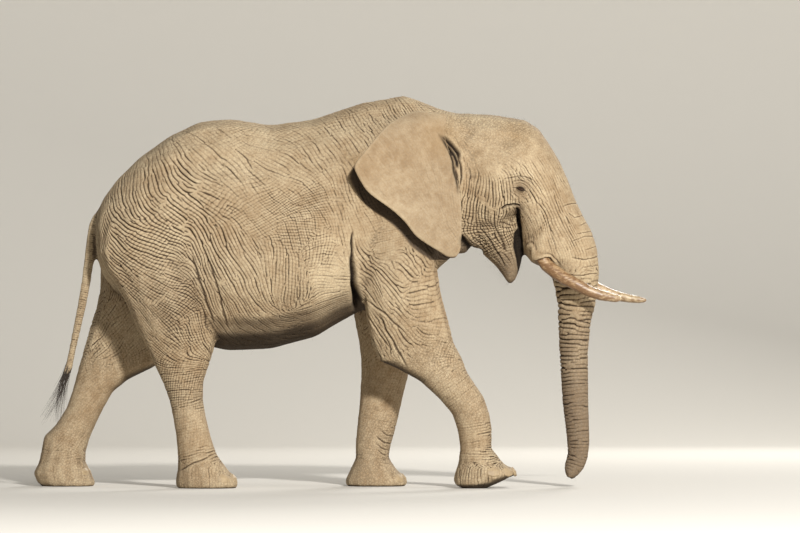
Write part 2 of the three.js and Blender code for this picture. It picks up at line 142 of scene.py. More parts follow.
# Folds that stand alone: side (0 is both), half width and depth in millimetres, and the line of
# the fold as x, z points. A fold of the whole girth has no side.
# The deepest folds also get painted shade along their valleys.
FOLDS = (
    (0, 9, 22, ((0.11, 2.05), (0.095, 1.94), (0.10, 1.80), (0.12, 1.66))),
    (0, 20, 50, ((0.085, 1.90), (0.105, 1.72), (0.125, 1.54), (0.135, 1.36), (0.15, 1.18))),
    (0, 34, 40, ((0.115, 1.66), (0.14, 1.46), (0.155, 1.30), (0.165, 1.10))),
    (0, 9, 16, ((-1.18, 1.91), (-1.13, 1.72), (-1.06, 1.50), (-0.98, 1.30))),
    (0, 9, 12, ((-1.10, 1.95), (-1.02, 1.75), (-0.94, 1.51), (-0.88, 1.24))),
    (-1, 8, 12, ((0.21, 1.32), (0.27, 1.14), (0.35, 0.98), (0.49, 0.94))),
    (-1, 8, 14, ((0.30, 1.41), (0.38, 1.24), (0.48, 1.07), (0.55, 0.94))),
    (0, 7, 9, ((0.20, 1.42), (0.32, 1.22), (0.42, 1.08))),
    (0, 8, 11, ((0.19, 1.52), (0.36, 1.38), (0.55, 1.22))),
    (0, 8, 26, ((1.27, 2.215), (1.32, 2.25), (1.38, 2.258), (1.45, 2.245))),
    (0, 12, 26, tuple(zip(*EAR_FOLD))),
    (0, 13, 34, ((0.79, 2.825), (0.85, 2.77), (0.90, 2.72), (0.945, 2.665), (0.965, 2.60))),
    (0, 7, 18, ((0.92, 2.70), (0.945, 2.64), (0.962, 2.58), (0.968, 2.472), (0.952, 2.376))),
    (0, 17, 30, ((0.845, 2.76), (0.88, 2.70), (0.915, 2.65), (0.935, 2.60), (0.94, 2.53))),
    (None, 30, 36, ((0.96, 2.03), (0.99, 1.95), (1.04, 1.90), (1.10, 1.875), (1.16, 1.87))),
    (0, 9, 16, ((1.10, 2.08), (1.19, 1.98), (1.27, 1.86), (1.33, 1.74))),
    (0, 9, 14, ((1.22, 2.10), (1.28, 2.0), (1.34, 1.88))),
    (0, 8, 10, ((1.04, 2.01), (1.12, 1.95), (1.20, 1.83), (1.28, 1.75))),
    (-1, 8, 7, ((-1.30, 0.13), (-1.16, 0.20), (-0.98, 0.28))),
    (-1, 8, 8, ((-1.10, 1.16), (-1.04, 1.10), (-1.00, 1.01))),
    (None, 5, 10, ((0.325, 0.451), (0.382, 0.410), (0.434, 0.399))),
    (None, 6, 12, ((0.292, 0.405), (0.358, 0.353), (0.418, 0.334))),
    (None, 5, 11, ((0.287, 0.353), (0.341, 0.307), (0.395, 0.285))),
    (None, 5, 9, ((0.301, 0.296), (0.341, 0.263), (0.379, 0.247))),
    (0, 6, 10, ((1.30, 2.464), (1.424, 2.484), (1.52, 2.464), (1.552, 2.40))),
    (None, 4, 7, ((1.77, 2.235), (1.86, 2.27), (1.96, 2.275))),
    (None, 4, 5, ((1.80, 2.205), (1.87, 2.154), (1.97, 2.175))),
    (None, 4, 4, ((1.90, 2.09), (2.02, 2.13))),
    (None, 4, 5, ((1.87, 2.02), (1.94, 2.035), (2.04, 2.05))),
    (None, 4, 7, ((1.83, 1.955), (1.95, 2.0), (2.06, 2.01))),
    (None, 4, 4, ((1.95, 1.90), (2.08, 1.93))),
    (None, 5, 9, ((1.84, 1.835), (1.96, 1.82), (2.10, 1.85))),
    (None, 4, 5, ((1.92, 1.75), (2.10, 1.785))),
    (None, 5, 10, ((1.78, 1.70), (1.95, 1.69), (2.10, 1.72))),
    (None, 5, 8, ((1.74, 1.58), (2.10, 1.61))),
)

# Lay of the creases of the sides: x, z, slope in degrees, spacing in millimetres, and the depth of
# the creases and of those that cross them, as shares of the deepest.
LAY = (
    (-1.88, 2.18, -60, 40, 0.8, 0.2),
    (-1.90, 1.94, -50, 36, 0.9, 0.2),
    (-1.89, 1.74, -55, 30, 0.8, 0.2),
    (-1.77, 2.13, -40, 38, 0.8, 0.35),
    (-1.67, 2.34, -72, 42, 0.6, 0.1),
    (-1.60, 2.28, -60, 44, 0.8, 0.2),
    (-1.47, 2.17, -38, 40, 0.9, 0.4),
    (-1.53, 1.94, -25, 38, 0.9, 0.45),
    (-1.67, 1.76, -35, 34, 0.9, 0.5),
    (-1.43, 2.02, -22, 40, 0.9, 0.45),
    (-1.28, 1.95, -15, 36, 0.9, 0.5),
    (-1.43, 1.66, -25, 32, 0.9, 0.7),
    (-1.24, 1.74, -20, 30, 0.9, 0.8),
    (-1.48, 2.46, -70, 45, 0.5, 0.1),
    (-1.31, 2.54, -50, 48, 0.6, 0.1),
    (-1.15, 2.39, -40, 48, 0.7, 0.1),
    (-1.20, 2.22, -35, 42, 0.8, 0.4),
    (-1.00, 2.34, -25, 45, 0.5, 0.4),
    (-1.06, 2.65, -50, 50, 0.4, 0.1),
    (-0.82, 2.54, -50, 50, 0.5, 0.2),
    (-0.68, 2.42, -52, 45, 0.4, 0.4),
    (-1.12, 2.01, -58, 36, 1, 0.2),
    (-1.15, 1.80, -70, 32, 1, 0.2),
    (-1.00, 1.66, -63, 32, 1, 0.2),
    (-0.94, 1.34, -68, 28, 1, 0.2),
    (-0.84, 1.90, -55, 38, 0.8, 0.2),
    (-0.72, 1.66, -63, 38, 0.8, 0.2),
    (-0.66, 1.42, -58, 32, 0.8, 0.2),
    (-0.57, 1.31, -40, 28, 0.8, 0.2),
    (-0.44, 1.26, -8, 26, 0.8, 0.2),
    (-0.62, 1.22, -20, 28, 0.6, 0.2),
    (-0.24, 1.32, 18, 26, 0.8, 0.2),
    (-0.08, 1.40, 24, 26, 0.8, 0.2),
    (0.06, 1.50, 20, 26, 0.7, 0.2),
    (-0.08, 1.64, 8, 38, 0.5, 0.2),
    (0.08, 1.62, 5, 36, 0.5, 0.2),
    (-0.48, 1.74, -88, 36, 0.6, 0.3),
    (-0.36, 1.58, -88, 36, 0.6, 0.3),
    (-0.32, 2.06, -85, 28, 0.5, 0.5),
    (-0.44, 2.26, -45, 24, 0.55, 0.6),
    (-0.20, 2.30, -60, 25, 0.5, 0.5),
    (-0.64, 2.20, -40, 28, 0.55, 0.6),
    (-0.12, 1.90, 10, 30, 0.45, 0.5),
    (-0.56, 2.62, -22, 45, 0.4, 0.1),
    (-0.36, 2.47, -35, 45, 0.35, 0.2),
    (-0.24, 2.70, -48, 45, 0.4, 0.1),
    (0.08, 2.86, -52, 40, 0.7, 0.2),
    (0.23, 2.86, -66, 36, 0.8, 0.2),
    (0.36, 3.00, -65, 34, 0.9, 0.2),
    (0.00, 2.58, -60, 45, 0.5, 0.2),
    (0.04, 2.30, -75, 40, 0.4, 0.2),
    (0.08, 1.98, -80, 36, 0.5, 0.2),
    (0.17, 2.10, -70, 30, 0.3, 0.3),
    (0.40, 1.94, 15, 24, 0.3, 0.3),
    (0.14, 1.81, -50, 40, 0.8, 0.2),
    (0.28, 1.62, -48, 40, 0.9, 0.2),
    (0.40, 1.42, -47, 42, 0.9, 0.2),
    (0.55, 1.22, -45, 42, 0.8, 0.2),
    (0.24, 1.50, -42, 36, 1, 0.2),
    (0.26, 1.26, -58, 40, 0.9, 0.2),
    (0.44, 1.14, -60, 44, 0.8, 0.2),
    (0.56, 1.78, -50, 45, 0.5, 0.2),
    (0.68, 1.58, 15, 50, 0.4, 0.2),
    (0.72, 1.46, 20, 50, 0.4, 0.2),
    (0.74, 1.32, 5, 50, 0.35, 0.2),
    (0.72, 1.10, -20, 30, 0.4, 0.4),
    (-1.28, 1.42, -25, 30, 0.9, 0.9),
    (-1.16, 1.26, -80, 28, 0.8, 0.6),
    (-1.52, 1.26, -50, 28, 0.5, 0.3),
    (-1.40, 1.10, -40, 30, 0.6, 0.4),
    (-1.04, 1.10, -60, 28, 0.8, 0.4),
    (-1.12, 0.95, -15, 26, 0.7, 0.3),
    (-1.20, 0.82, 0, 30, 0.4, 0.4),
    (1.04, 2.28, -88, 34, 1.1, 0.2),
    (1.16, 2.24, -88, 34, 1.3, 0.2),
    (1.26, 2.22, -82, 34, 1.3, 0.2),
    (1.00, 2.46, -84, 30, 0.6, 0.1),
    (1.14, 2.42, -88, 32, 0.65, 0.1),
    (1.28, 2.38, -80, 32, 0.7, 0.1),
    (1.00, 2.62, -76, 30, 0.45, 0.1),
    (1.20, 2.54, -60, 34, 0.35, 0.1),
    (1.08, 2.07, -90, 34, 1.1, 0.8),
    (1.20, 2.06, -80, 32, 1.0, 0.8),
    (1.12, 2.68, -20, 30, 0.25, 0.1),
    (1.28, 2.70, -20, 36, 0.15, 0.1),
    (1.40, 2.86, -40, 40, 0.08, 0.1),
    (1.08, 2.94, 0, 40, 0.1, 0.1),
    (1.64, 2.78, -60, 36, 0.08, 0.1),
    (1.56, 2.37, -57, 36, 0.95, 0.1),
    (1.65, 2.48, -60, 36, 0.3, 0.1),
    (1.66, 2.20, -60, 36, 0.9, 0.1),
    (1.78, 2.26, -62, 34, 0.55, 0.1),
    (1.76, 2.02, -65, 34, 0.65, 0.1),
    (1.58, 2.10, -82, 28, 0.4, 0.1),
    (1.60, 1.98, -85, 28, 0.4, 0.1),
    (1.52, 1.90, -80, 26, 0.3, 0.1),
    (1.70, 1.86, -75, 28, 0.35, 0.2),
    (1.12, 1.96, -30, 32, 1.2, 1.1),
    (1.28, 1.98, -50, 30, 1.0, 1.0),
    (1.24, 1.83, -40, 32, 1.2, 0.8),
    (1.34, 1.70, -60, 22, 0.5, 0.4),
    (1.00, 1.95, -35, 34, 0.9, 0.3),
    (1.88, 2.38, -20, 44, 0.4, 0.1),
)
LAY_REACH = 0.085  # distance over which one entry gives way to the next

CREASE_SHARPNESS = 5.5  # of the dark line in the middle of each crease
CREASE_DEPTH = 0.17  # of the deepest creases, as a share of their spacing
MAJOR = 2.7  # spacing of the broad folds under the creases, in spacings of the creases

# The bed of each tusk inside the head: x, distance from the middle, z.
SOCKET_BED = ((1.53, 0.18, 1.97), (1.56, 0.196, 1.91), (1.61, 0.222, 1.835))
SOCKET_BED_RADIUS = 0.06

# Middle line of each tusk near the lip of its bed.
TUSK_LINES = {
    -1: ((1.56, -0.196, 1.90), (1.65, -0.238, 1.772), (1.716, -0.268, 1.72), (1.79, -0.296, 1.668)),
    1: ((1.56, 0.196, 1.92), (1.68, 0.246, 1.79), (1.77, 0.28, 1.732), (1.88, 0.312, 1.676)),
}
TUSK_RADIUS = 0.054
TUSK_LIP = (1.62, 0.22, 1.81)  # the lip of the left bed

NOSTRIL = (1.832, 0.015, 0.062)  # the left one
NOSTRIL_WIDTH = 11 * MM
NOSTRIL_DEPTH = 22 * MM

EYE_RADIUS = 0.033
EYE_SPOT = (1.436, 2.384)  # place of the eye in the side view
EYE_DEPTH = 0.021  # of the eyeball's middle under the cheek
LID_GAP = 0.013  # half the height of the slit between the lids
LID_WAY = (1, 0, -0.3)  # from the back corner of the eye to its front one
LID_REACH = 0.034  # half its length
LID_DROP = 0.0035  # how far the slit lies under the eyeball's middle
LID_CURVE = 2.2  # how fast its ends turn down, for each metre squared

# The mouth, the same on both sides, from its corner down to the lip: z, x of the lip's rim, and x
# where the inside of the lip, set back and painted in shade, ends in front.
MOUTH = (
    (2.235, 1.402, 1.416),
    (2.214, 1.405, 1.432),
    (2.136, 1.405, 1.440),
    (2.072, 1.418, 1.450),
    (2.032, 1.388, 1.452),
    (1.928, 1.380, 1.462),
    (1.824, 1.405, 1.470),
    (1.744, 1.418, 1.470),
    (1.670, 1.414, 1.470),
)
MOUTH_DEPTH = 0.05

# Folds round each eye: distance from its middle, depth and half width, in millimetres.
LID_RINGS = ((29, 8, 4), (45, 8, 5), (64, 7, 6), (86, 5, 7), (110, 3, 7))

# Marks of the hide at places of the side view: strength, x, z and reach. The last kind makes the
# creases deeper.
SPOTS = {
    "dust": ((0.5, -0.04, 1.66, 0.2), (-0.25, *EYE_SPOT, 0.07)),
    "earth": ((0.45, 0.82, 2.78, 0.15), (0.4, 1.42, 2.82, 0.13), (0.35, 0.16, 2.55, 0.12)),
    "grey": ((0.2, -1.35, 1.55, 0.35), (0.15, 0.4, 1.8, 0.3)),
    "cells": ((0.5, 1.2, 1.95, 0.25),),
    "depth": ((0.3, -1.3, 1.5, 0.3), (0.35, 0.4, 1.8, 0.3)),
}
CHIN = (1.33, 1.72, 0.17)  # greyer end of the lower lip: x, z, reach
CHIN_HAIR = (1.3, 1.75, 0.16)  # where it is bristly
LONG_HAIR = 0.46  # longest hair of the tail's tuft
SHORT_HAIR = 0.06  # a long bristle or lash
HAIR_PATCH = 0.003  # width of a hair's place on the skin's map

EAR_SHADOW_INSET = (0.045, 0.065)  # how far inside the ear's outline the painted shadow of the ear on the hide behind it begins, laid as bare dark hide: x, z
EAR_HALF = 0.010  # half the thickness of an ear
EAR_ROUNDING = 2  # grid steps over which its rim is rounded
EAR_EVENING = 30  # times that its grid is evened out
EAR_DEPTH = 0.8  # length of an ear from front to back, for the count of its grid

EAR_ROOT = (0.80, 2.95, 0.11)  # where the top of an ear grows out of the neck: x, z, reach

# Each round of making the skin's mesh finer: how near an eye, and how near the lip of a tusk's bed.
FINER = ((0.12, 0.11), (0.075, 0), (0.045, 0))

# Sizes of the meshes' triangles.
BODY_STEP = 0.018
EAR_STEP = 0.009
IVORY_STEP = 0.006
NAIL_STEP = 0.004

FRAME_WIDTH = 6.4  # width of the picture where the animal stands
FRAME_MIDDLE = (0.48, 1.764)

# Lamps: name, place and width. All point at the middle of the animal.
LAMPS = (
    ("key", (8.9, -32.0, 15.4), 2.2),
    ("fill", (-9.0, -12.0, 5.0), 9.0),
    ("front", (14.0, -4.0, 7.0), 5.0),
    ("back", (6.0, 15.0, 9.0), 5.0),
)
LAMP_TARGET = (0.2, 0.0, 1.6)

# The studio: how far its floor goes before, behind and beside the animal, and its wall.
FLOOR_NEAR = -70.0
FLOOR_FAR = 16.0
FLOOR_SIDE = 60.0
WALL_BEND = 6.0
WALL_HEIGHT = 40.0

# ------------------------------------------------------------------ numbers and meshes


def linear(code):
    """Linear RGBA of an sRGB colour such as b39b7c."""
    shares = [int(code[i : i + 2], 16) / 255 for i in (0, 2, 4)]
    light = [c / 12.92 if c <= 0.04045 else ((c + 0.055) / 1.055) ** 2.4 for c in shares]
    return (*light, 1.0)


def ramp(low, high, value):
    """0 below low and 1 above high, with a soft rise between them."""
    share = np.clip((value - low) / (high - low), 0, 1)
    return share * share * (3 - 2 * share)


def unit(vectors):
    """Vectors made one long."""
    return vectors / np.maximum(np.linalg.norm(vectors, axis=-1, keepdims=True), 1e-12)


def dots(first, second):
    """Row by row dot products, as a column."""
    return np.sum(first * second, axis=-1, keepdims=True)


def spot(points, x, z, reach):
    """1 at a place of the side view, fading to 0 over that reach."""
    return np.exp(-((points[:, 0] - x) ** 2 + (points[:, 2] - z) ** 2) / reach**2)


def spots(points, kind):
    """Sum of the marks of one kind."""
    return sum(strength * spot(points, *place) for strength, *place in SPOTS[kind])


def noise(points, size, seed):
    """Smooth random values from -1 to 1 with features about that size."""
    lattice = np.random.default_rng(seed).random((32, 32, 32), dtype=np.float32) * 2 - 1
    place = points / size
    corner = np.floor(place)
    share = (place - corner).astype(np.float32)
    share = share * share * (3 - 2 * share)
    corner = corner.astype(int)
    total = np.zeros(len(points), np.float32)
    for step in itertools.product((0, 1), repeat=3):
        i, j, k = (corner + step).T % 32
        weight = np.prod(np.where(np.array(step) == 1, share, 1 - share), axis=1)
        total += weight * lattice[i, j, k]
    return total


def along_path(places, path):
    """How far each place is from a line of points, how far along it (0 to 1), and its direction."""
    path = np.asarray(path, float)
    steps = np.diff(path, axis=0)
    lengths = np.linalg.norm(steps, axis=1)
    gap = np.full(len(places), np.inf)
    share = np.zeros(len(places))
    direction = np.zeros_like(places)
    done = 0
    for start, step, length in zip(path[:-1], steps, lengths):
        part = np.clip((places - start) @ step / length**2, 0, 1)
        here = np.linalg.norm(places - start - part[:, None] * step, axis=1)
        nearer = here < gap
        gap[nearer] = here[nearer]
        share[nearer] = (done + part[nearer] * length) / lengths.sum()
        direction[nearer] = step / length
        done += length
    return gap, share, direction


def arrays_of(mesh):
    """Places of a mesh's corners, and its triangles as rows of three corner numbers."""
    mesh.calc_loop_triangles()
    points = np.empty(len(mesh.vertices) * 3, np.float32)
    mesh.vertices.foreach_get("co", points)
    triangles = np.empty(len(mesh.loop_triangles) * 3, np.int32)
    mesh.loop_triangles.foreach_get("vertices", triangles)
    return points.reshape(-1, 3).astype(float), triangles.reshape(-1, 3)


def welded(points, triangles):
    """The same mesh with corners that share a place made one."""
    _, first, number = np.unique(
        np.round(points / (0.02 * MM)).astype(np.int64), axis=0, return_index=True, return_inverse=True
    )
    triangles = number.ravel()[triangles]
    a, b, c = triangles.T
    return points[first], triangles[(a != b) & (b != c) & (c != a)]


def normals_of(points, triangles):
    """Outward direction at each corner."""
    a, b, c = (points[triangles[:, i]] for i in range(3))
    flat = np.cross(b - a, c - a)
    out = np.zeros_like(points)
    for corner in triangles.T:
        for axis in range(3):
            out[:, axis] += np.bincount(corner, flat[:, axis], len(points))
    return unit(out)


def mesh_object(name, points, triangles):
    """A new smooth-shaded object of those triangles, in the scene."""
    mesh = bpy.data.meshes.new(name)
    mesh.vertices.add(len(points))
    mesh.vertices.foreach_set("co", np.asarray(points, np.float32).ravel())
    mesh.loops.add(len(triangles) * 3)
    mesh.loops.foreach_set("vertex_index", np.asarray(triangles, np.int32).ravel())
    mesh.polygons.add(len(triangles))
    mesh.polygons.foreach_set("loop_start", np.arange(0, len(triangles) * 3, 3, dtype=np.int32))
    mesh.update(calc_edges=True)
    mesh.shade_smooth()
    thing = bpy.data.objects.new(name, mesh)
    bpy.context.scene.collection.objects.link(thing)
    return thing


def set_values(thing, name, values):
    """Stores one value, or a row of three, for every corner of a mesh."""
    row = values.ndim == 2
    layer = thing.data.attributes.new(name, "FLOAT_VECTOR" if row else "FLOAT", "POINT")
    layer.data.foreach_set("vector" if row else "value", values.astype(np.float32).ravel())


def set_map(thing, corners):
    """Stores the flat coordinates of each triangle's corners."""
    layer = thing.data.uv_layers.new(name=MAP_NAME)
    layer.uv.foreach_set("vector", np.asarray(corners, np.float32).ravel())


def joined(parts):
    """One mesh of several."""
    points, triangles, first = [], [], 0
    for places, faces in parts:
        points.append(places)
        triangles.append(faces + first)
        first += len(places)
    return np.concatenate(points), np.concatenate(triangles)


def voxel_mesh(points, triangles, size):
    """Even mesh over the outside of overlapping solids, with triangles about that size."""
    thing = mesh_object("voxels", points, triangles)
    modifier = thing.modifiers.new("Voxels", "REMESH")
    modifier.mode = "VOXEL"
    modifier.voxel_size = size
    shown = thing.evaluated_get(bpy.context.evaluated_depsgraph_get())
    made = arrays_of(shown.to_mesh())
    shown.to_mesh_clear()
    bpy.data.meshes.remove(thing.data)
    return made


class Neighbours:
    """Which corners of a closed mesh share an edge, for averaging values over them."""

    def __init__(self, triangles, count):
        pairs = np.concatenate([triangles[:, [0, 1]], triangles[:, [1, 2]], triangles[:, [2, 0]]])
        pairs = pairs[np.argsort(pairs[:, 0], kind="stable")]
        self.others = pairs[:, 1].astype(np.intp)
        self.starts = np.searchsorted(pairs[:, 0], np.arange(count))
        self.shares = 1 / np.diff(np.append(self.starts, len(pairs)))[:, None].astype(np.float32)

    def mean(self, values):
        """Average of each corner's neighbours."""
        near = np.take(values, self.others, axis=0, mode="clip")
        return np.add.reduceat(near, self.starts, axis=0) * self.shares


def blurred(values, neighbours, passes, share=0.6):
    """Values averaged with their neighbours some times; share is how far each moves."""
    values = np.asarray(values, np.float32)
    share = np.asarray(share, np.float32)
    for _ in range(passes):
        values = values + share * (neighbours.mean(values) - values)
    return values


def rounded(points, neighbours, passes, share):
    """Points with their facets rounded off and their thickness kept."""
    made = np.zeros_like(points)
    for _ in range(3):
        made = made + blurred(points - made, neighbours, passes, share)
    return made


def share_for(width, passes, size):
    """Share for blurred() that rounds off facets that wide, on triangles of that size."""
    return np.minimum(1.5 * np.square(width) / (passes * size**2), 0.85)


def refined(points, triangles, wanted):
    """The mesh with the triangles round the wanted corners cut into four, and no gaps at the border."""
    touched = wanted[triangles].any(axis=1)
    kept, a, b, c = triangles[~touched], *triangles[touched].T
    low = np.minimum(np.concatenate([a, b, c]), np.concatenate([b, c, a])).astype(np.int64)
    high = np.maximum(np.concatenate([a, b, c]), np.concatenate([b, c, a]))
    keys, number = np.unique(low * len(points) + high, return_inverse=True)
    edges = np.stack([keys // len(points), keys % len(points)], 1)
    cut = wanted[edges].any(axis=1)
    middle = np.full(len(edges), -1)
    middle[cut] = len(points) + np.arange(cut.sum())
    points = np.concatenate([points, points[edges[cut]].mean(axis=1)])
    ab, bc, ca = middle[number.ravel()].reshape(3, -1)
    whole = (ab >= 0) & (bc >= 0) & (ca >= 0)
    cuts = [(whole, trio) for trio in ((a, ab, ca), (ab, b, bc), (ca, bc, c), (ab, bc, ca))]
    for _ in range(3):
        one = (ab >= 0) & (bc < 0) & (ca < 0)
        two = (ab >= 0) & (bc >= 0) & (ca < 0)
        cuts += [(one, (a, ab, c)), (one, (ab, b, c))]
        cuts += [(two, (ab, b, bc)), (two, (a, ab, bc)), (two, (a, bc, c))]
        a, b, c, ab, bc, ca = b, c, a, bc, ca, ab
    return points, np.concatenate([kept, *(np.stack(trio, 1)[which] for which, trio in cuts)])


def tube(path, radii, sides):
    """Closed tube along a line of points."""
    path = np.asarray(path, float)
    way = unit(np.gradient(path, axis=0))
    first = unit(np.cross(way, unit(np.array([0.31, 0.95, 0.07]))))
    second = np.cross(way, first)
    turns = np.arange(sides) * TURN / sides
    rings = path[:, None] + np.asarray(radii)[:, None, None] * (
        np.cos(turns)[:, None] * first[:, None] + np.sin(turns)[:, None] * second[:, None]
    )
    points = np.concatenate([rings.reshape(-1, 3), path[[0, -1]]])
    count = len(path)
    start = (np.arange(count - 1)[:, None] * sides + np.arange(sides)).ravel()
    after = (np.arange(count - 1)[:, None] * sides + (np.arange(sides) + 1) % sides).ravel()
    ring, turned = np.arange(sides), (np.arange(sides) + 1) % sides
    last = (count - 1) * sides
    triangles = np.concatenate(
        [
            np.stack([start, after, after + sides], 1),
            np.stack([start, after + sides, start + sides], 1),
            np.stack([turned, ring, np.full(sides, count * sides)], 1),
            np.stack([last + ring, last + turned, np.full(sides, count * sides + 1)], 1),
        ]
    )
    return points, triangles


# ------------------------------------------------------------------ the skin's shape


def solid_of(name):
    """Corners and triangles of one of the frame's solids."""
    return welded(*arrays_of(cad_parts[name].data))


def solids(names, growth):
    """Mesh of some of the frame's solids, each grown outwards a little so that they overlap."""
    parts = []
    for name in names:
        points, triangles = solid_of(name)
        parts.append((points + growth * normals_of(points, triangles), triangles))
    return joined(parts)


def names_with(*starts):
    """Names of the frame's nodes that start with one of those words."""
    return [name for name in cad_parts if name.startswith(starts)]


def flesh_names():
    """Names of the nodes that the skin stands for."""
    return [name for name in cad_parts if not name.startswith(NOT_FLESH)]


def nearest_parts(points, names):
    """For each point, the number of the named node that it is nearest to."""
    parts = [solid_of(name) for name in names]
    owner = np.concatenate([np.full(len(faces), n) for n, (_, faces) in enumerate(parts)])
    places, triangles = joined(parts)
    tree = BVHTree.FromPolygons(places.tolist(), triangles.tolist())
    return owner[[tree.find_nearest(point)[2] for point in points.tolist()]]


def outward_side(points):
    """-1 for points of the right side and 1 for points of the left side, soft across the middle."""
    return np.tanh(points[:, 1] / 0.03)


def formed(points, normals):
    """Points moved by the swellings and hollows of both sides."""
    side = ramp(0.15, 0.6, normals[:, 1] * outward_side(points))
    height = np.zeros(len(points))
    for x, z, tilt, length, width, rise in FORMS:
        turn = math.radians(tilt)
        right, up = points[:, 0] - x, points[:, 2] - z
        run = right * math.cos(turn) + up * math.sin(turn)
        rest = up * math.cos(turn) - right * math.sin(turn)
        height += rise * MM * np.exp(-((run / length) ** 2) - (rest / width) ** 2)
    return points + normals * (height * side)[:, None]


def folded(points, normals, ears):
    """How far the lone folds move each point outwards, and the shade painted into the deepest of them."""
    sideways = ramp(0.1, 0.5, normals[:, 1] * outward_side(points))
    flat = points[:, [0, 2]] + 7 * MM * np.stack([noise(points, 0.09, seed) for seed in (51, 52)], 1)
    height, dark = np.zeros((2, len(points)))
    for side, width, depth, path in FOLDS:
        reach = 6 * width * MM
        inside = (flat > np.min(path, axis=0) - reach) & (flat < np.max(path, axis=0) + reach)
        some = np.flatnonzero(inside.all(axis=1))
        gap, share, _ = along_path(flat[some], path)
        weight = ramp(0, 0.25, share) * ramp(0, 0.25, 1 - share)
        if side is not None:
            weight = weight * sideways[some]
        if side:
            weight = weight * (points[some, 1] * side > 0)
        valley = np.exp(-((gap / (width * MM)) ** 2))
        lips = np.exp(-((gap / (2.4 * width * MM)) ** 2)) - valley
        height[some] += weight * depth * MM * (0.45 * lips - valley) * (1 - 0.85 * ears[some])
        # Painted shade in the valley of a deep fold.
        dark[some] = np.maximum(dark[some], weight * valley * ramp(10, 26, depth))
    return height, dark


def mouthed(points):
    """Points with the inside of the lower lip set back from its rim, and 1 for those inside it."""
    table = np.array(MOUTH[::-1])
    rim, front = (np.interp(points[:, 2], table[:, 0], table[:, column]) for column in (1, 2))
    inside = ramp(0, 7 * MM, points[:, 0] - rim) * ramp(5 * MM, -2 * MM, points[:, 0] - front)
    inside *= ramp(1.63, 1.70, points[:, 2]) * ramp(2.245, 2.225, points[:, 2])
    points = points.copy()
    width = np.abs(points[:, 1])
    points[:, 1] -= np.sign(points[:, 1]) * inside * np.minimum(MOUTH_DEPTH, 0.6 * width)
    return points, inside


def body_mesh(size):
    """Rounded mesh of the whole animal but its ears."""
    names = [name for name in flesh_names() if not name.startswith("ear")]
    points, triangles = solids(names + names_with(*FILLED), MM)
    plugs = [socket_plug(side) for side in SIDES.values()]
    points, triangles = voxel_mesh(*joined([(points, triangles), *plugs]), size)
    neighbours = Neighbours(triangles, len(points))
    owner = nearest_parts(points, names)
    width = np.array([next(v for k, v in ROUNDING.items() if n.startswith(k)) for n in names]) * MM
    width = blurred(width[owner][:, None], neighbours, 12)
    passes = 90
    points = rounded(points, neighbours, passes, share_for(width, passes, size))
    points = formed(points, normals_of(points, triangles))
    return points, triangles


def socket_plug(side):
    """Solid that fills the tusk's bed inside the head."""
    path = np.array(SOCKET_BED) * (1, side, 1)
    return tube(path, [SOCKET_BED_RADIUS] * len(path), 12)


def ear_middle(points, triangles, size):
    """Grid of places over the middle of an ear, with a row for each level, and evened out."""
    side = np.sign(points[:, 1].mean())
    tree = BVHTree.FromPolygons(points.tolist(), triangles.tolist())
    first, last = points[triangles.ravel()], points[np.roll(triangles, -1, axis=1).ravel()]
    low, high = points[:, 2].min(), points[:, 2].max()
    share = np.linspace(0, 1, round(EAR_DEPTH / size))
    rows = []
    for level in np.linspace(low + MM, high - MM, round((high - low) / size)):
        cut = (first[:, 2] < level) & (last[:, 2] >= level)
        way = (level - first[cut, 2]) / (last[cut, 2] - first[cut, 2])
        edges = first[cut, 0] + way * (last[cut, 0] - first[cut, 0])
        across = edges.min() + share * np.ptp(edges)
        outer = [tree.ray_cast((x, side, level), (0, -side, 0))[0] for x in across]
        inner = [tree.ray_cast((x, 0, level), (0, side, 0))[0] for x in across]
        hit = [i for i in range(len(across)) if outer[i] and inner[i]]
        middle = [(outer[i].y + inner[i].y) / 2 for i in hit]
        rows.append(np.stack([across, np.interp(share, share[hit], middle), 0 * share + level], 1))
    grid = np.array(rows)
    for _ in range(EAR_EVENING):
        wide = np.pad(grid, ((1, 1), (1, 1), (0, 0)), "reflect", reflect_type="odd")
        near = wide[2:, 1:-1] + wide[:-2, 1:-1] + wide[1:-1, 2:] + wide[1:-1, :-2]
        grid = 0.5 * grid + 0.125 * near
    return grid, side


def ear_mesh(name, size):
    """Mesh of an ear: a blade with a soft rim, laid over the middle of the frame's solid."""
    grid, side = ear_middle(*solid_of(name), size)
    out = unit(np.cross(*np.gradient(grid, axis=(0, 1))))
    out = out * side * np.sign(out[:, :, 1:2].mean())
    levels, places = grid.shape[:2]
    from_end, from_edge = (np.minimum(np.arange(n), np.arange(n)[::-1]) for n in (levels, places))
    inside = np.minimum(from_end[:, None], from_edge) / EAR_ROUNDING
    thick = EAR_HALF * np.sqrt(1 - (1 - np.minimum(inside, 1)) ** 2)[:, :, None]
    points = np.concatenate([(grid + thick * out).reshape(-1, 3), (grid - thick * out).reshape(-1, 3)])
    corner = (np.arange(levels - 1)[:, None] * places + np.arange(places - 1)).ravel()
    a, b, c, d = corner, corner + 1, corner + places + 1, corner + places
    faces = np.concatenate([np.stack([a, b, c], 1), np.stack([a, c, d], 1)])
    return welded(points, np.concatenate([faces, faces[:, ::-1] + levels * places]))


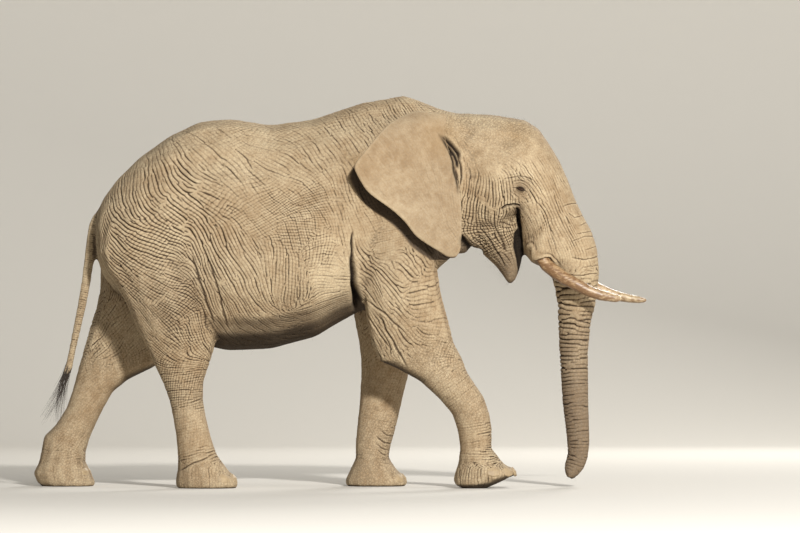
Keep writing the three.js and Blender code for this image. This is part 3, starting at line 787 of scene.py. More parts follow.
def lay_of_sides(points):
    """Slope in radians, spacing in metres, and the two depths of the creases at each point."""
    table = np.array(LAY)
    step = 0.02
    low = points[:, [0, 2]].min(axis=0) - step
    counts = np.ceil((points[:, [0, 2]].max(axis=0) + step - low) / step).astype(int) + 1
    x, z = (low[axis] + step * np.arange(counts[axis]) for axis in (0, 1))
    square = (x[:, None, None] - table[:, 0]) ** 2 + (z[None, :, None] - table[:, 1]) ** 2
    weight = np.exp(-square / (2 * LAY_REACH**2)) + 1e-4 / (0.02 + square)
    slope = 2 * np.radians(table[:, 2])
    columns = [np.cos(slope), np.sin(slope), table[:, 3] * MM, table[:, 4], table[:, 5]]
    grid = np.stack([(weight * column).sum(-1) / weight.sum(-1) for column in columns], -1)
    place = (points[:, [0, 2]] - low) / step
    corner = place.astype(int)
    share = place - corner
    total = 0
    for i, j in itertools.product((0, 1), repeat=2):
        part = np.abs(1 - i - share[:, 0]) * np.abs(1 - j - share[:, 1])
        total = total + part[:, None] * grid[corner[:, 0] + i, corner[:, 1] + j]
    return 0.5 * np.arctan2(total[:, 1], total[:, 0]), total[:, 2], total[:, 3], total[:, 4]


def leg_creases(points, normals):
    """Rings across the legs, deeper at the ankles and the bent knee, and creases down the feet.

    Each is a weight, the axis that the creases go round, their spacing, their depth, and the depth
    of those that cross them."""
    x, y, height = points.T
    leg = ramp(1.12, 0.86, height) * (x < BEHIND_TRUNK)
    low = np.flatnonzero(leg > 0)
    axis = np.full_like(points, (0, 0, -1))
    nearest = np.full(len(low), np.inf)
    for side, ahead, up in LEG_LINES:
        path = np.stack([ahead, np.full(len(ahead), side * LEG_MIDDLE), up], 1)
        gap, _, way = along_path(points[low], path)
        nearer = gap < nearest
        nearest[nearer] = gap[nearer]
        axis[low[nearer]] = way[nearer]
    above = np.where(x > BEHIND_FORE_LEGS, ramp(0.56, 0.47, height), ramp(0.36, 0.27, height))
    ankle = ramp(0.15, 0.21, height) * above
    ankle *= 0.35 + 0.65 * ramp(-0.1, 0.5, normals[:, 0])
    bent = (x > -1.5) & (x < -0.8) & (y < 0)
    knee = bent * ramp(0.56, 0.72, height)
    shank = 0.24 + np.maximum(0.85 * ankle, 0.6 * knee)
    foot = leg * ramp(0.23, 0.15, height)
    heel = 0.35 + 0.6 * (x > 0.7) * ramp(0.5, -0.1, normals[:, 0])
    return [
        (leg, axis, 0.030 - 0.004 * knee, shank, 0.3 + 0.3 * knee),
        (foot, np.cross(normals, (0, 0, 1)), 0.034, heel, 0.1),
    ]


def trunk_creases(points, normals):
    """Rings round the trunk, closer and deeper towards its tip, and where its root is bare of creases."""
    x, _, height = points.T
    _, share, way = along_path(points[:, [0, 2]], TRUNK_LINE)
    trunk = np.maximum(ramp(1.66, 1.86, x) * ramp(1.84, 1.66, height), ramp(1.74, 1.6, height))
    trunk = trunk * (x > TRUNK_START)
    edge = np.interp(height, *zip(*TRUNK_FRONT))
    front = ramp(-0.17, -0.07, x - edge) * ramp(2.45, 2.3, height) * (height > 1.6)
    axis = np.stack([way[:, 0], 0 * share, way[:, 1]], 1)
    spacing = 0.060 - 0.022 * ramp(0.25, 0.7, share)
    rear = ramp(0.2, -0.5, normals[:, 0])
    deep = 0.55 + 0.35 * ramp(0.2, 0.42, share) + 0.8 * rear - 0.75 * ramp(0.88, 1, share)
    return (trunk, axis, spacing, deep, 0.3 - 0.15 * ramp(0.45, 0.6, share)), front * (1 - trunk)


def tail_creases(points):
    """Fine rings round the tail."""
    x, y, height = points.T
    tail = ((x < -1.95) & (height > 0.86) & (np.abs(y) < 0.09)) * 1.0
    return tail, (-0.2, 0, -1), 0.024, 0.5, 0.2


def crease_lay(points, normals, ears):
    """Direction of the creases at each point, their spacing, and the depths of the two sets."""
    x, _, height = points.T
    side = outward_side(points)[:, None]
    slope, spacing, deep, cross = lay_of_sides(points)
    deep = 1.2 * deep * ramp(-0.4, 0.8, deep)
    slope = slope + 0.22 * noise(points, 0.22, 11) + 0.12 * noise(points, 0.09, 12)
    ahead = np.zeros_like(points)
    ahead[:, 0] = 1
    ahead[:, 1] = -normals[:, 0] * side[:, 0]
    ahead = unit(ahead - dots(ahead, normals) * normals)
    up = -side * np.cross(normals, ahead)
    along = np.cos(slope)[:, None] * ahead + np.sin(slope)[:, None] * up

    rings, bare = trunk_creases(points, normals)
    deep = deep * (1 - 0.7 * bare)
    for weight, axis, gaps, depth, over in (*leg_creases(points, normals), rings, tail_creases(points)):
        ring = unit(np.cross(normals, unit(axis)) + 1e-9)
        ring = np.where(dots(ring, along) < 0, -ring, ring)
        along = unit(along * (1 - weight)[:, None] + ring * weight[:, None])
        spacing = spacing * (1 - weight) + gaps * weight
        deep = deep * (1 - weight) + depth * weight
        cross = cross * (1 - weight) + over * weight

    top = ramp(0.55, 0.85, normals[:, 2]) * ramp(2.5, 2.7, height)
    inner = ramp(0.2, -0.4, normals[:, 1] * side[:, 0]) * ramp(1.9, 1.6, height) * (x < 1.2)
    rump = ramp(-0.9, -1.3, x) * ramp(0.9, 1.1, height)
    deep = deep * (1 - 0.55 * top) * (1 - 0.6 * inner)
    deep = deep * (1 - 0.93 * ears) * (1 + 0.5 * rump + spots(points, "depth"))
    cross = (cross + 0.2 * top) * (1 - 0.8 * ears)
    return unit(along), spacing, deep, cross


def crease_lines(points, along, normals, spacing, cell, seed):
    """Wandering parallel lines, as the wave that runs across them, and how clear they are.

    A line lies where the first part of the wave is -1."""
    across = np.cross(normals, along)
    origin = points.min(axis=0) - 1.5 * cell
    counts = tuple(np.ceil((points.max(axis=0) - origin) / cell).astype(int) + 3)
    random = np.random.default_rng(seed)
    middles = random.random((np.prod(counts), 3), dtype=np.float32)
    starts = random.random(np.prod(counts), dtype=np.float32) * np.float32(TURN)
    place = ((points - origin) / cell).astype(np.float32)
    corner = np.floor(place).astype(np.int32)
    across = across.astype(np.float32)
    waves = (TURN * cell / spacing).astype(np.float32)
    real = np.zeros(len(points), np.float32)
    turned = np.zeros(len(points), np.float32)
    for step in itertools.product((-1, 0, 1), repeat=3):
        where = corner + np.array(step, np.int32)
        number = np.ravel_multi_index(where.T, counts)
        offset = place - where - middles[number]
        down = np.einsum("ij,ij->i", offset, across)
        window = 1 - np.einsum("ij,ij->i", offset, offset) - 0.9 * down * down
        window = np.maximum(window, 0) ** 3
        phase = waves * down + starts[number]
        real += window * np.cos(phase)
        turned += window * np.sin(phase)
    size = np.maximum(np.hypot(real, turned), 1e-9)
    return np.stack([real / size, turned / size], 1), ramp(0.0004, 0.008, size)


def creases(points, normals, ears, depth):
    """How far the hide's creases move each point outwards, and the two waves that draw them."""
    along, spacing, deep, cross = crease_lay(points, normals, ears)
    patch = np.maximum(1 + 0.6 * noise(points, 0.34, 21) + 0.5 * noise(points, 0.11, 22), 0.15)
    across = np.cross(normals, along)
    slant = math.radians(74)
    crossing = unit(math.cos(slant) * along + math.sin(slant) * across)
    wave, clear = crease_lines(points, along, normals, spacing * MAJOR, 0.3, 41)
    major = np.exp(-2.5 * (1 + wave[:, 0])) * clear
    height = -0.13 * major * deep * patch * CREASE_DEPTH * spacing * MAJOR
    waves = []
    for way, strength, gaps, cell, seed in (
        (along, deep * (0.5 + 0.8 * major), spacing * 0.74, 0.13, 31),
        (crossing, cross * (0.5 + 0.5 * ramp(0.25, 0.5, cross)), spacing * 0.82, 0.1, 51),
    ):
        wave, clear = crease_lines(points, way, normals, gaps, cell, seed)
        strength = strength * clear * patch * depth
        valley = np.exp(-2.2 * (1 + wave[:, 0]))
        height += strength * CREASE_DEPTH * gaps * (0.13 * wave[:, 0] - valley)
        waves.append(np.column_stack([wave, strength]))
    grain = 0.5 * noise(points, 0.021, 23) + 0.4 * noise(points, 0.012, 24)
    return depth * (height + grain * MM * (1 - 0.5 * ears)), waves


def box_of(name):
    """Middle of one of the frame's solids, and its size."""
    low, high = (np.array(corner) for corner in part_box(name))
    return (low + high) / 2, high - low


def eye_place(points, normals, name):
    """Middle of an eyeball, and its axes as rows: along the lids, up, and out of the head."""
    side = SIDES[name]
    middle, _ = box_of("eye_" + name)
    round_it = np.linalg.norm(points - middle, axis=1) < 0.05
    out = unit(normals[round_it].mean(axis=0) + (0, side * 0.4, 0))
    cheek = (points[round_it].mean(axis=0) - middle) @ out
    middle = middle + out * (cheek - EYE_DEPTH)
    along = unit(np.array(LID_WAY) - out * (out @ LID_WAY))
    return middle, np.stack([along, -side * np.cross(out, along), out])


def slit(along):
    """Height of the middle of the slit between the lids, and half its width, along the eye."""
    return -LID_DROP - LID_CURVE * along * along, LID_GAP * (1 - (along / LID_REACH) ** 2)


def lidded(points, middle, axes):
    """Points round an eye, laid over the ball as two lids with a slit, and the shade painted round the slit,
    wider under the upper lid.
    """
    place = (points - middle) @ axes.T
    some = (np.linalg.norm(place, axis=1) < 0.16) & (place[:, 2] > -0.02)
    a, b, c = place[some].T
    reach = np.hypot(a, b)
    ball = EYE_RADIUS
    lid = ball + np.where(b > 0, 6.5, 4.5) * MM
    dome = np.sqrt(np.maximum(lid**2 - reach**2, 0)) - 0.03 * ramp(0.95, 1.3, reach / lid)
    level = 0.5 * (c + dome + np.sqrt((c - dome) ** 2 + (7 * MM) ** 2)) - 1.5 * MM

    wobble = 3 * MM * noise(points[some], 0.03, 61)
    oval = np.hypot(a / 1.35, b + 0.002) + wobble
    rings = np.zeros(len(a))
    for ring, depth, width in LID_RINGS:
        rings += depth * np.exp(-(((oval - ring * MM) / (width * MM)) ** 2))
    rings *= 0.6 + 0.25 * (a * 0.4 + b) / np.maximum(reach, MM) + 0.45 * noise(points[some], 0.05, 62)
    level = level - rings * MM

    slit_line, half = slit(a)
    edge = np.abs(b - slit_line) - half
    margin = np.exp(-((edge - 2.2 * MM) ** 2) / (1.8 * MM) ** 2) * (np.abs(a) < 1.1 * LID_REACH)
    level = level + 1.2 * MM * margin
    corner = np.exp(-(((b - slit_line) / (2.6 * MM)) ** 2))
    corner *= ramp(0.85, 1, np.abs(a) / LID_REACH) * ramp(2.3, 1.2, np.abs(a) / LID_REACH)
    level = level - 6 * MM * corner
    behind = np.sqrt(np.maximum((ball - 6 * MM) ** 2 - reach**2, 0))
    opened = ramp(0.8 * MM, -0.8 * MM, edge) * (np.abs(a) < LID_REACH)
    level = level * (1 - opened) + behind * opened
    points = points.copy()
    points[some] = middle + np.stack([a, b, level], 1) @ axes
    dark = np.zeros(len(points))
    # Painted shade round the slit, wider under the upper lid, and in its deep corners and the lid folds.
    rim = ramp(np.where(b > slit_line, 14, 7) * MM, 2 * MM, edge) * (np.abs(a) < 1.3 * LID_REACH)
    dark[some] = np.maximum.reduce([opened, 0.85 * rim, 0.9 * corner, 0.03 * rings])
    return points, dark


def sheathed(points):
    """How far the lip of each tusk's bed moves each point outwards."""
    height = np.zeros(len(points))
    for side in SIDES.values():
        some = np.flatnonzero((np.abs(points[:, 0] - 1.66) < 0.2) & (points[:, 1] * side > 0.05))
        gap, _, _ = along_path(points[some], TUSK_LINES[side])
        over = gap - TUSK_RADIUS
        part = -30 * ramp(5 * MM, -4 * MM, over)
        part += 8 * np.exp(-(((over - 15 * MM) / (8 * MM)) ** 2))
        part -= 4 * np.exp(-(((over - 31 * MM) / (6 * MM)) ** 2))
        height[some] += part * MM
    return height


def nail_beds(points):
    """How far the rims of the nails' beds move each point outwards."""
    height = np.zeros(len(points))
    for name in names_with("fore_nail", "hind_nail"):
        middle, size = box_of(name)
        some = np.flatnonzero((np.abs(points - middle) < 0.08).all(axis=1))
        away = np.linalg.norm((points[some] - middle) / size * 2, axis=1)
        rim = 1.5 * np.exp(-(((away - 1.3) / 0.2) ** 2)) - 2 * ramp(1.12, 0.9, away)
        height[some] += rim * MM
    return height


def nostrils(points):
    """How far the two nostrils move each point of the trunk's tip inwards."""
    height = np.zeros(len(points))
    for side in SIDES.values():
        gap = np.linalg.norm(points - mirrored(NOSTRIL, side), axis=1)
        height -= NOSTRIL_DEPTH * np.exp(-((gap / NOSTRIL_WIDTH) ** 2))
    return height


def mirrored(place, side):
    """A place of the left side, moved to the side that is asked for."""
    return np.array(place) * (1, side, 1)


def away_from(points, places):
    """How far each point is from the nearest of some places."""
    return np.minimum.reduce([np.linalg.norm(points - place, axis=1) for place in places])


def away_from_lips(points):
    """How far each point is from the lip of a tusk's bed."""
    return away_from(points, [mirrored(TUSK_LIP, side) for side in SIDES.values()])


def away_from_eyes(points):
    """How far each point is from the middle of an eye."""
    return away_from(points, [box_of("eye_" + name)[0] for name in SIDES])


def bare_skin(size):
    """Mesh of the body with its ears, before any crease, finer near the eyes and the tusks' lips."""
    body = body_mesh(BODY_STEP)
    ears = [ear_mesh("ear_" + side, EAR_STEP) for side in SIDES]
    points, triangles = voxel_mesh(*joined([body, *ears]), size)
    neighbours = Neighbours(triangles, len(points))
    points = rounded(points, neighbours, 4, share_for(6 * MM, 4, size))
    root = spot(points, *EAR_ROOT)[:, None]
    points = blurred(points, neighbours, 60, 0.7 * ramp(0.25, 0.7, root)).astype(float)
    x, y, z = points.T
    blade = (np.abs(y) > 0.5) & (x > 0) & (x < 1) & (z > 1.7)
    blade = ramp(0.3, 0.7, blurred(blade[:, None] * 1.0, neighbours, 10))
    points = rounded(points, neighbours, 8, blade * share_for(11 * MM, 8, size))
    for near_eye, near_lip in FINER:
        wanted = (away_from_eyes(points) < near_eye) | (away_from_lips(points) < near_lip)
        points, triangles = refined(points, triangles, wanted)
    return points, triangles


def skin_shape(size, depth):
    """Mesh of the whole skin, with the values that its material and map need."""
    points, triangles = bare_skin(size)
    neighbours = Neighbours(triangles, len(points))
    names = flesh_names()
    owner = nearest_parts(points, names)
    is_ear = np.array([name.startswith("ear") for name in names], float)[owner]
    ears = blurred(is_ear[:, None], neighbours, 30)[:, 0]
    normals = normals_of(points, triangles)
    smooth = unit(blurred(normals, neighbours, 10))
    places = [eye_place(points, smooth, name) for name in SIDES]
    calm = np.ones(len(points))
    for middle, _ in places:
        calm *= ramp(0.045, 0.1, np.linalg.norm(points - middle, axis=1))
    calm *= 0.35 + 0.65 * ramp(0.07, 0.13, away_from_lips(points))
    folds, dark = folded(points, smooth, ears)
    height, waves = creases(points, smooth, ears, depth)
    for wave in waves:
        wave[:, 2] *= calm * (1 - dark)
    height = height * calm + folds
    height += sheathed(points) + nail_beds(points) + nostrils(points)
    points, inside = mouthed(points + normals * height[:, None])
    # Painted shade on the undersides of the belly and the chest.
    under = ramp(-0.5, -0.95, smooth[:, 2]) * ramp(1.75, 1.5, points[:, 2])
    # Painted shade: the deepest folds, the inside of the lower lip and the undersides, all in the dark mark.
    dark = np.maximum.reduce([dark, inside, 0.75 * under])
    # Painted shade round the slits of the eyes.
    for middle, axes in places:
        points, rim = lidded(points, middle, axes)
        dark = np.maximum(dark, rim)
    points[:, 2] = np.maximum(points[:, 2], 0.6 * MM)

    out = normals_of(points, triangles)
    # How far each point lies in a hollow, for the painted shade in the hollows and the dust on the ridges.
    fine = blurred(points, neighbours, 5)
    broad = blurred(fine, neighbours, 24)
    hollow = dots(fine - points, out)[:, 0] / (2.4 * MM) + 0.5 * dots(broad - fine, out)[:, 0] / (5 * MM)
    values = {"hollow": np.clip(hollow, -1, 1), "dark": dark, "creases": waves[0], "crossings": waves[1]}
    return points, triangles, owner, smooth, ears, values, places


# ------------------------------------------------------------------ map of the skin


def island_map(points, triangles, owner, normals):
    """Flat coordinates of every triangle's corners: an island for each body part and way it faces."""
    facing = normals[triangles].sum(axis=1)
    axis = np.argmax(np.abs(facing), axis=1)
    ahead = facing[np.arange(len(axis)), axis] > 0
    key = (owner[triangles[:, 0]] * 3 + axis) * 2 + ahead
    order = np.argsort(key, kind="stable")
    groups = np.split(order, np.flatnonzero(np.diff(key[order])) + 1)
    islands = []
    for group in groups:
        kept = [other for other in (0, 1, 2) if other != axis[group[0]]]
        flat = points[triangles[group]][:, :, kept]
        flat = flat - flat.min(axis=(0, 1))
        if flat[:, :, 1].max() > flat[:, :, 0].max():
            flat = flat[:, :, ::-1]
        islands.append((group, flat, *flat.max(axis=(0, 1))))
    islands.sort(key=lambda island: -island[3])
    width = 1.16 * math.sqrt(sum((w + 0.02) * (h + 0.02) for _, _, w, h in islands))
    corners = np.empty((len(triangles), 3, 2))
    margin = 0.012
    right = top = row = 0
    for group, flat, wide, high in islands:
        if right + wide + 2 * margin > width:
            right, top, row = 0, top + row, 0
        corners[group] = flat + (right + margin, top + margin)
        right += wide + 2 * margin
        row = max(row, high + 2 * margin)
    return corners / max(width, top + row)


# ------------------------------------------------------------------ other pieces


def smooth_copy(name, size, width, growth=0.0):
    """Rounded mesh of one of the frame's nodes."""
    points, triangles = voxel_mesh(*solids([name], growth), size)
    neighbours = Neighbours(triangles, len(points))
    return rounded(points, neighbours, 16, share_for(width, 16, size)), triangles


def ball(radius, middle, axes, rings, sides):
    """Eyeball with its clear front bulging a little, and the angle of each corner from the front."""
    polar = np.linspace(0, math.pi, rings + 1)[1:-1]
    turns = np.arange(sides) * TURN / sides
    bulge = 1 + 0.05 * ramp(0.55, 0.1, polar)
    flat = np.sin(polar) * bulge
    ahead = np.outer(np.cos(polar) * bulge, np.ones(sides))
    points = np.stack([np.outer(flat, np.cos(turns)), np.outer(flat, np.sin(turns)), ahead], -1)
    points = points.reshape(-1, 3)
    points = np.concatenate([points, [[0, 0, 1.05], [0, 0, -1]]])
    angle = np.concatenate([np.repeat(polar, sides), [0, math.pi]])
    start = np.arange((rings - 2) * sides)
    after = start // sides * sides + (start + 1) % sides
    first = np.arange(sides)
    turned = (first + 1) % sides
    last = (rings - 2) * sides
    pole = (rings - 1) * sides
    triangles = np.concatenate(
        [
            np.stack([start, start + sides, after + sides], 1),
            np.stack([start, after + sides, after], 1),
            np.stack([np.full(sides, pole), first, turned], 1),
            np.stack([np.full(sides, pole + 1), last + turned, last + first], 1),
        ]
    )
    if np.linalg.det(axes) < 0:
        triangles = triangles[:, ::-1]
    return middle + radius * points @ axes, triangles, angle


def strands(roots, ways, lengths, radius, bend, steps, seed):
    """Tapering hairs from those roots: one mesh, with the root's number for every triangle."""
    random = np.random.default_rng(seed)
    parts, owners = [], []
    share = np.linspace(0, 1, steps)[:, None]
    for number, (root, way, length) in enumerate(zip(roots, ways, lengths)):
        curl = random.normal(0, 0.12, 3) * length
        path = root + way * length * share + (np.asarray(bend) * length + curl) * share**2
        thin = radius * (1 - 0.8 * share[:, 0])
        part = tube(path, thin, 3)
        parts.append(part)
        owners.append(np.full(len(part[1]), number))
    points, triangles = joined(parts)
    return points, triangles, np.concatenate(owners)


def skin_arrays():
    """Places, normals and map place of every corner of the finished skin."""
    mesh = bpy.data.objects["hide"].data
    points, triangles = arrays_of(mesh)
    flat = np.empty(len(mesh.loops) * 2, np.float32)
    mesh.uv_layers[MAP_NAME].uv.foreach_get("vector", flat)
    loops = np.empty(len(mesh.loops), np.int32)
    mesh.loops.foreach_get("vertex_index", loops)
    place = np.zeros((len(points), 2))
    place[loops] = flat.reshape(-1, 2)
    return points, normals_of(points, triangles), place


def hair_map(points, triangles, owners, roots_on_map, length):
    """Flat coordinates that give each hair a small patch at its root's place on the skin's map."""
    corner = points[triangles]
    middle = corner.mean(axis=(0, 1))
    local = ((corner - middle) / length)[:, :, [0, 2]]
    patch = HAIR_PATCH * (local - np.floor(local))
    return roots_on_map[owners][:, None] + patch - HAIR_PATCH / 2


# ------------------------------------------------------------------ materials

SPECKLE = 0.6  # how strongly the finer parts of a noise show


def add_node(tree, kind, *inputs, out=None, **settings):
    """Adds a node with its settings, fills or links its open sockets in order, and gives an output."""
    node = tree.nodes.new("ShaderNode" + kind)
    for name, value in settings.items():
        setattr(node, name, value)
    for socket, value in zip([socket for socket in node.inputs if socket.enabled], inputs):
        if isinstance(value, NodeSocket):
            tree.links.new(value, socket)
        elif value is not None:
            socket.default_value = value
    return node.outputs[out] if out else next((socket for socket in node.outputs if socket.enabled), None)


def new_material(name, **uniform):
    """A material, the way to add nodes to it, and its surface shader with the plain values set."""
    material = bpy.data.materials.new(name)
    material.use_nodes = True
    material.node_tree.nodes.clear()
    add = functools.partial(add_node, material.node_tree)
    shader = add("BsdfPrincipled")
    add("OutputMaterial", shader)
    for socket, value in uniform.items():
        shader.node.inputs[socket.replace("_", " ")].default_value = value
    return material, add, shader.node


def link(source, shader, name):
    """Leads a colour or a normal into a socket of a shader."""
    shader.id_data.links.new(source, shader.inputs[name])


def crease_darkness(add, name):
    """How deep in a crease a place is: 1 in the middle of a deep one, from its stored wave."""
    wave = add("Attribute", attribute_name=name, out="Vector")
    real, turned, strength = add("SeparateXYZ", wave).node.outputs
    squares = [add("Math", part, part, operation="MULTIPLY") for part in (real, turned)]
    size = add("Math", add("Math", *squares, operation="ADD"), operation="SQRT")
    size = add("Math", size, 0.001, operation="MAXIMUM")
    above = add("Math", add("Math", real, size, operation="DIVIDE"), 1.0, operation="ADD")
    fall = add("Math", above, -CREASE_SHARPNESS, operation="MULTIPLY")
    return add("Math", add("Math", fall, operation="EXPONENT"), strength, operation="MULTIPLY")


def hide_material(colours):
    """Elephant hide: thick bare skin, matt and cracked, with dry earth thrown over it, and shade painted into
    its cracks, hollows, creases and darkest places.
    """
    # Dry dusty skin scatters light like clay: no gloss, only a faint sheen of dust.
    material, add, shader = new_material("elephant_hide", Roughness=0.88, Specular_IOR_Level=0.22, IOR=1.45)
    place = add("TexCoord", out="Object")
    hollow, cells, dust, earth, grey, shelter, dark = (
        add("Attribute", attribute_name=name, out="Fac")
        for name in ("hollow", "cells", "dust", "earth", "grey", "shelter", "dark")
    )
    cloud = add("TexNoise", place, 1 / (450 * MM), 4, SPECKLE)
    blotch = add("TexNoise", place, 1 / (70 * MM), 5, SPECKLE)
    grain = add("TexNoise", place, 1 / (16 * MM), 3, SPECKLE)
    # Cracks between the papillae of the hide stand about 11 mm apart, drawn coarser here at 20 mm.
    wander = add("TexNoise", place, 28.0, 2.0, out="Color")
    bent = add("VectorMath", wander, (0.035, 0.035, 0.035), place, operation="MULTIPLY_ADD")
    cracks = add("TexVoronoi", bent, 1 / (20 * MM), feature="DISTANCE_TO_EDGE")
    crack = add("Math", add("MapRange", cracks, 0.0, 0.2, 1.0, 0.0), cells, operation="MULTIPLY")
    crossings = add("Math", crease_darkness(add, "crossings"), 0.6, operation="MULTIPLY")
    line = add("Math", crease_darkness(add, "creases"), crossings, operation="ADD")

    for more in (
        add("MapRange", cloud, 0.35, 0.7, -0.2, 0.25),
        add("MapRange", hollow, -0.8, 0.0, 0.3, 0.0),
        add("MapRange", blotch, 0.36, 0.66, -0.2, 0.2),
    ):
        dust = add("Math", dust, more, operation="ADD")
    # Painted shade: the dark mark and the painted shadow of the ears, mixed towards the near-black shade
    # colour.
    deep = add("Math", dark, add("Math", shelter, 0.6, operation="MULTIPLY"), operation="MAXIMUM")
    colour = colours.hide
    for share, over in (
        (add("MapRange", dust, 0.0, 1.0, 0.0, 1.0), colours.dust),
        (earth, colours.earth),
        (grey, colours.grey),
        (add("MapRange", grain, 0.35, 0.7, 0.0, 0.3), colours.earth),
        # Painted shade in the cracks, the hollows and the creases of the hide.
        (add("Math", crack, 0.5, operation="MULTIPLY"), colours.crease),
        (add("MapRange", hollow, 0.0, 0.9, 0.0, 0.85), colours.crease),
        (add("MapRange", line, 0.0, 1.1, 0.0, 0.8), colours.crease),
        (add("MapRange", deep, 0.0, 1.0, 0.0, 0.95), colours.deepest),
    ):
        colour = add("Mix", share, colour, over, data_type="RGBA")
    link(colour, shader, "Base Color")
    raised = add("Math", grain, 0.8, operation="MULTIPLY")
    cut = add("Math", crack, 0.9, operation="MULTIPLY")
    fine = add("Bump", 0.6, 1.6 * MM, None, add("Math", raised, cut, operation="SUBTRACT"))
    link(add("Bump", 0.8, 5 * MM, None, line, fine, invert=True), shader, "Normal")
    return material


def ivory_material(colours):
    """Tusk ivory: dentine, dense and waxy, stained by bark and earth, with shade painted on its underside,
    and polished at the worn tip.
    """
    material, add, shader = new_material("tusk_ivory", Roughness=0.42, IOR=1.54)
    place = add("TexCoord", out="Object")
    along = add("Mapping", place, None, None, (0.25, 1.0, 1.0))
    streaks = add("TexNoise", along, 1 / (12 * MM), 4, SPECKLE)
    cloud = add("TexNoise", place, 1 / (35 * MM), 3, SPECKLE)
    worn = add("MapRange", add("SeparateXYZ", place, out="X"), 1.9, 2.35, 0.0, 1.0)
    # Facing down, for the painted shade on the tusk's underside.
    under = add("SeparateXYZ", add("NewGeometry", out="Normal"), out="Z")
    stain = add("MapRange", streaks, 0.34, 0.6, 0.1, 0.9)
    for more in (
        add("MapRange", cloud, 0.4, 0.6, 0.0, 0.6),
        add("MapRange", under, 0.3, -0.5, 0.0, 0.35),
    ):
        stain = add("Math", stain, more, operation="ADD")
    stain = add("Math", stain, add("MapRange", worn, 0.0, 1.0, 1.0, 0.75), operation="MULTIPLY")
    colour = add("Mix", worn, colours.ivory, colours.tip, data_type="RGBA")
    stain = add("MapRange", stain, 0.0, 1.1, 0.0, 0.9)
    link(add("Mix", stain, colour, colours.stain, data_type="RGBA"), shader, "Base Color")
    link(add("Bump", 0.4, 1.0 * MM, None, streaks), shader, "Normal")
    return material


def nail_material(colours):
    """Toenail: thick dull keratin with ridges along its growth and earth in them."""
    material, add, shader = new_material("toenail_keratin", Roughness=0.62, IOR=1.54)
    place = add("TexCoord", out="Object")
    along = add("Mapping", place, None, None, (1.0, 1.0, 0.2))
    ridges = add("TexNoise", along, 1 / (6 * MM), 2, SPECKLE)
    cloud = add("TexNoise", place, 1 / (30 * MM), 3, SPECKLE)
    soiled = add("MapRange", cloud, 0.35, 0.7, 0.1, 0.9)
    colour = add("Mix", soiled, colours.nail, colours.soil, data_type="RGBA")
    grooves = add("MapRange", ridges, 0.45, 0.7, 0.0, 0.35)
    link(add("Mix", grooves, colour, colours.soil, data_type="RGBA"), shader, "Base Color")
    link(add("Bump", 0.7, 1.5 * MM, None, ridges), shader, "Normal")
    return material


def eye_material(colours):
    """Living eye: a wet clear front over a dark amber iris, in a brownish white."""
    material, add, shader = new_material("wet_eye", Roughness=0.06, IOR=1.376)
    angle = add("Attribute", attribute_name="gaze", out="Fac")
    colour = linear("0a0a0a")
    for first, last, ring in (
        (0.16, 0.19, colours.iris),
        (0.40, 0.50, linear("120d0a")),
        (0.52, 0.66, colours.white),
    ):
        colour = add("Mix", add("MapRange", angle, first, last, 0.0, 1.0), colour, ring, data_type="RGBA")
    link(colour, shader, "Base Color")
    return material


def hair_material(colours):
    """Elephant hair: thick dark wire-like keratin with a low gloss."""
    material, add, shader = new_material("wiry_hair", Roughness=0.55, IOR=1.55)
    cloud = add("TexNoise", add("TexCoord", out="Object"), 1 / (20 * MM), 2, SPECKLE)
    link(add("Mix", cloud, colours.hair, colours.faded, data_type="RGBA"), shader, "Base Color")
    return material


def floor_material(colour):
    """Matt painted studio floor and wall, clear from behind so that the animal shows from all sides."""
    material, add, shader = new_material("studio_floor", Roughness=0.9, Specular_IOR_Level=0.2)
    shader.inputs["Base Color"].default_value = colour
    paint = shader.outputs["BSDF"]
    surface = paint.links[0].to_node
    behind = add("NewGeometry", out="Backfacing")
    link(add("MixShader", behind, paint, add("BsdfTransparent")), surface, "Surface")
    return material


# ------------------------------------------------------------------ settings


def colour_setting(name, code, description):
    """A colour property with that sRGB colour as its default."""
    return FloatVectorProperty(
        name=name, description=description, subtype="COLOR", size=4, min=0, max=1, default=linear(code)
    )


def size_setting(name, description, default, least, most, unit="LENGTH"):
    """A property for a length in metres, or for a number with another unit."""
    return FloatProperty(name=name, description=description, default=default, min=least, max=most, unit=unit)


def count_setting(name, description, default, least, most):
    """A property for a whole number."""
    return IntProperty(name=name, description=description, default=default, min=least, max=most)


class ElephantSkinSettings(PropertyGroup):
    """Sizes and colours of the skin."""

    size: size_setting("Mesh size", "Size of the skin's triangles", 0.0075, 0.005, 0.03)
    depth: size_setting("Crease depth", "Depth of the creases, 1 as in life", 1.0, 0, 2, "NONE")
    hide: colour_setting("Hide", "8f785b", "Skin under a film of earth")
    dust: colour_setting("Dust", "c2af8f", "Pale dry dust on the ridges")
    earth: colour_setting("Earth", "8c6d45", "Browner earth")
    # Bare hide; also laid as painted shade on the undersides and as the painted shadow behind the ears.
    grey: colour_setting("Bare hide", "6f6050", "Skin where the earth has worn off")
    # Painted shade at the bottom of the creases, the hollows and the cracks.
    crease: colour_setting("Crease", "3c2e21", "Bottom of the creases")
    # Near-black painted shade in the deepest folds, inside the mouth, under the belly, round the lids and
    # behind the ears.
    deepest: colour_setting("Inside", "17110c", "Inside the mouth, the ear and the lids")


class ElephantTuskSettings(PropertyGroup):
    """Colours of the tusks and nails."""

    ivory: colour_setting("Ivory", "b89b74", "Ivory near the lip")
    tip: colour_setting("Tip", "d8c6a0", "Ivory polished by use")
    stain: colour_setting("Stain", "6b4a2b", "Bark and earth stains")
    nail: colour_setting("Nail", "a8926f", "Toenails")
    soil: colour_setting("Soil", "8c775a", "Earth on the nails")


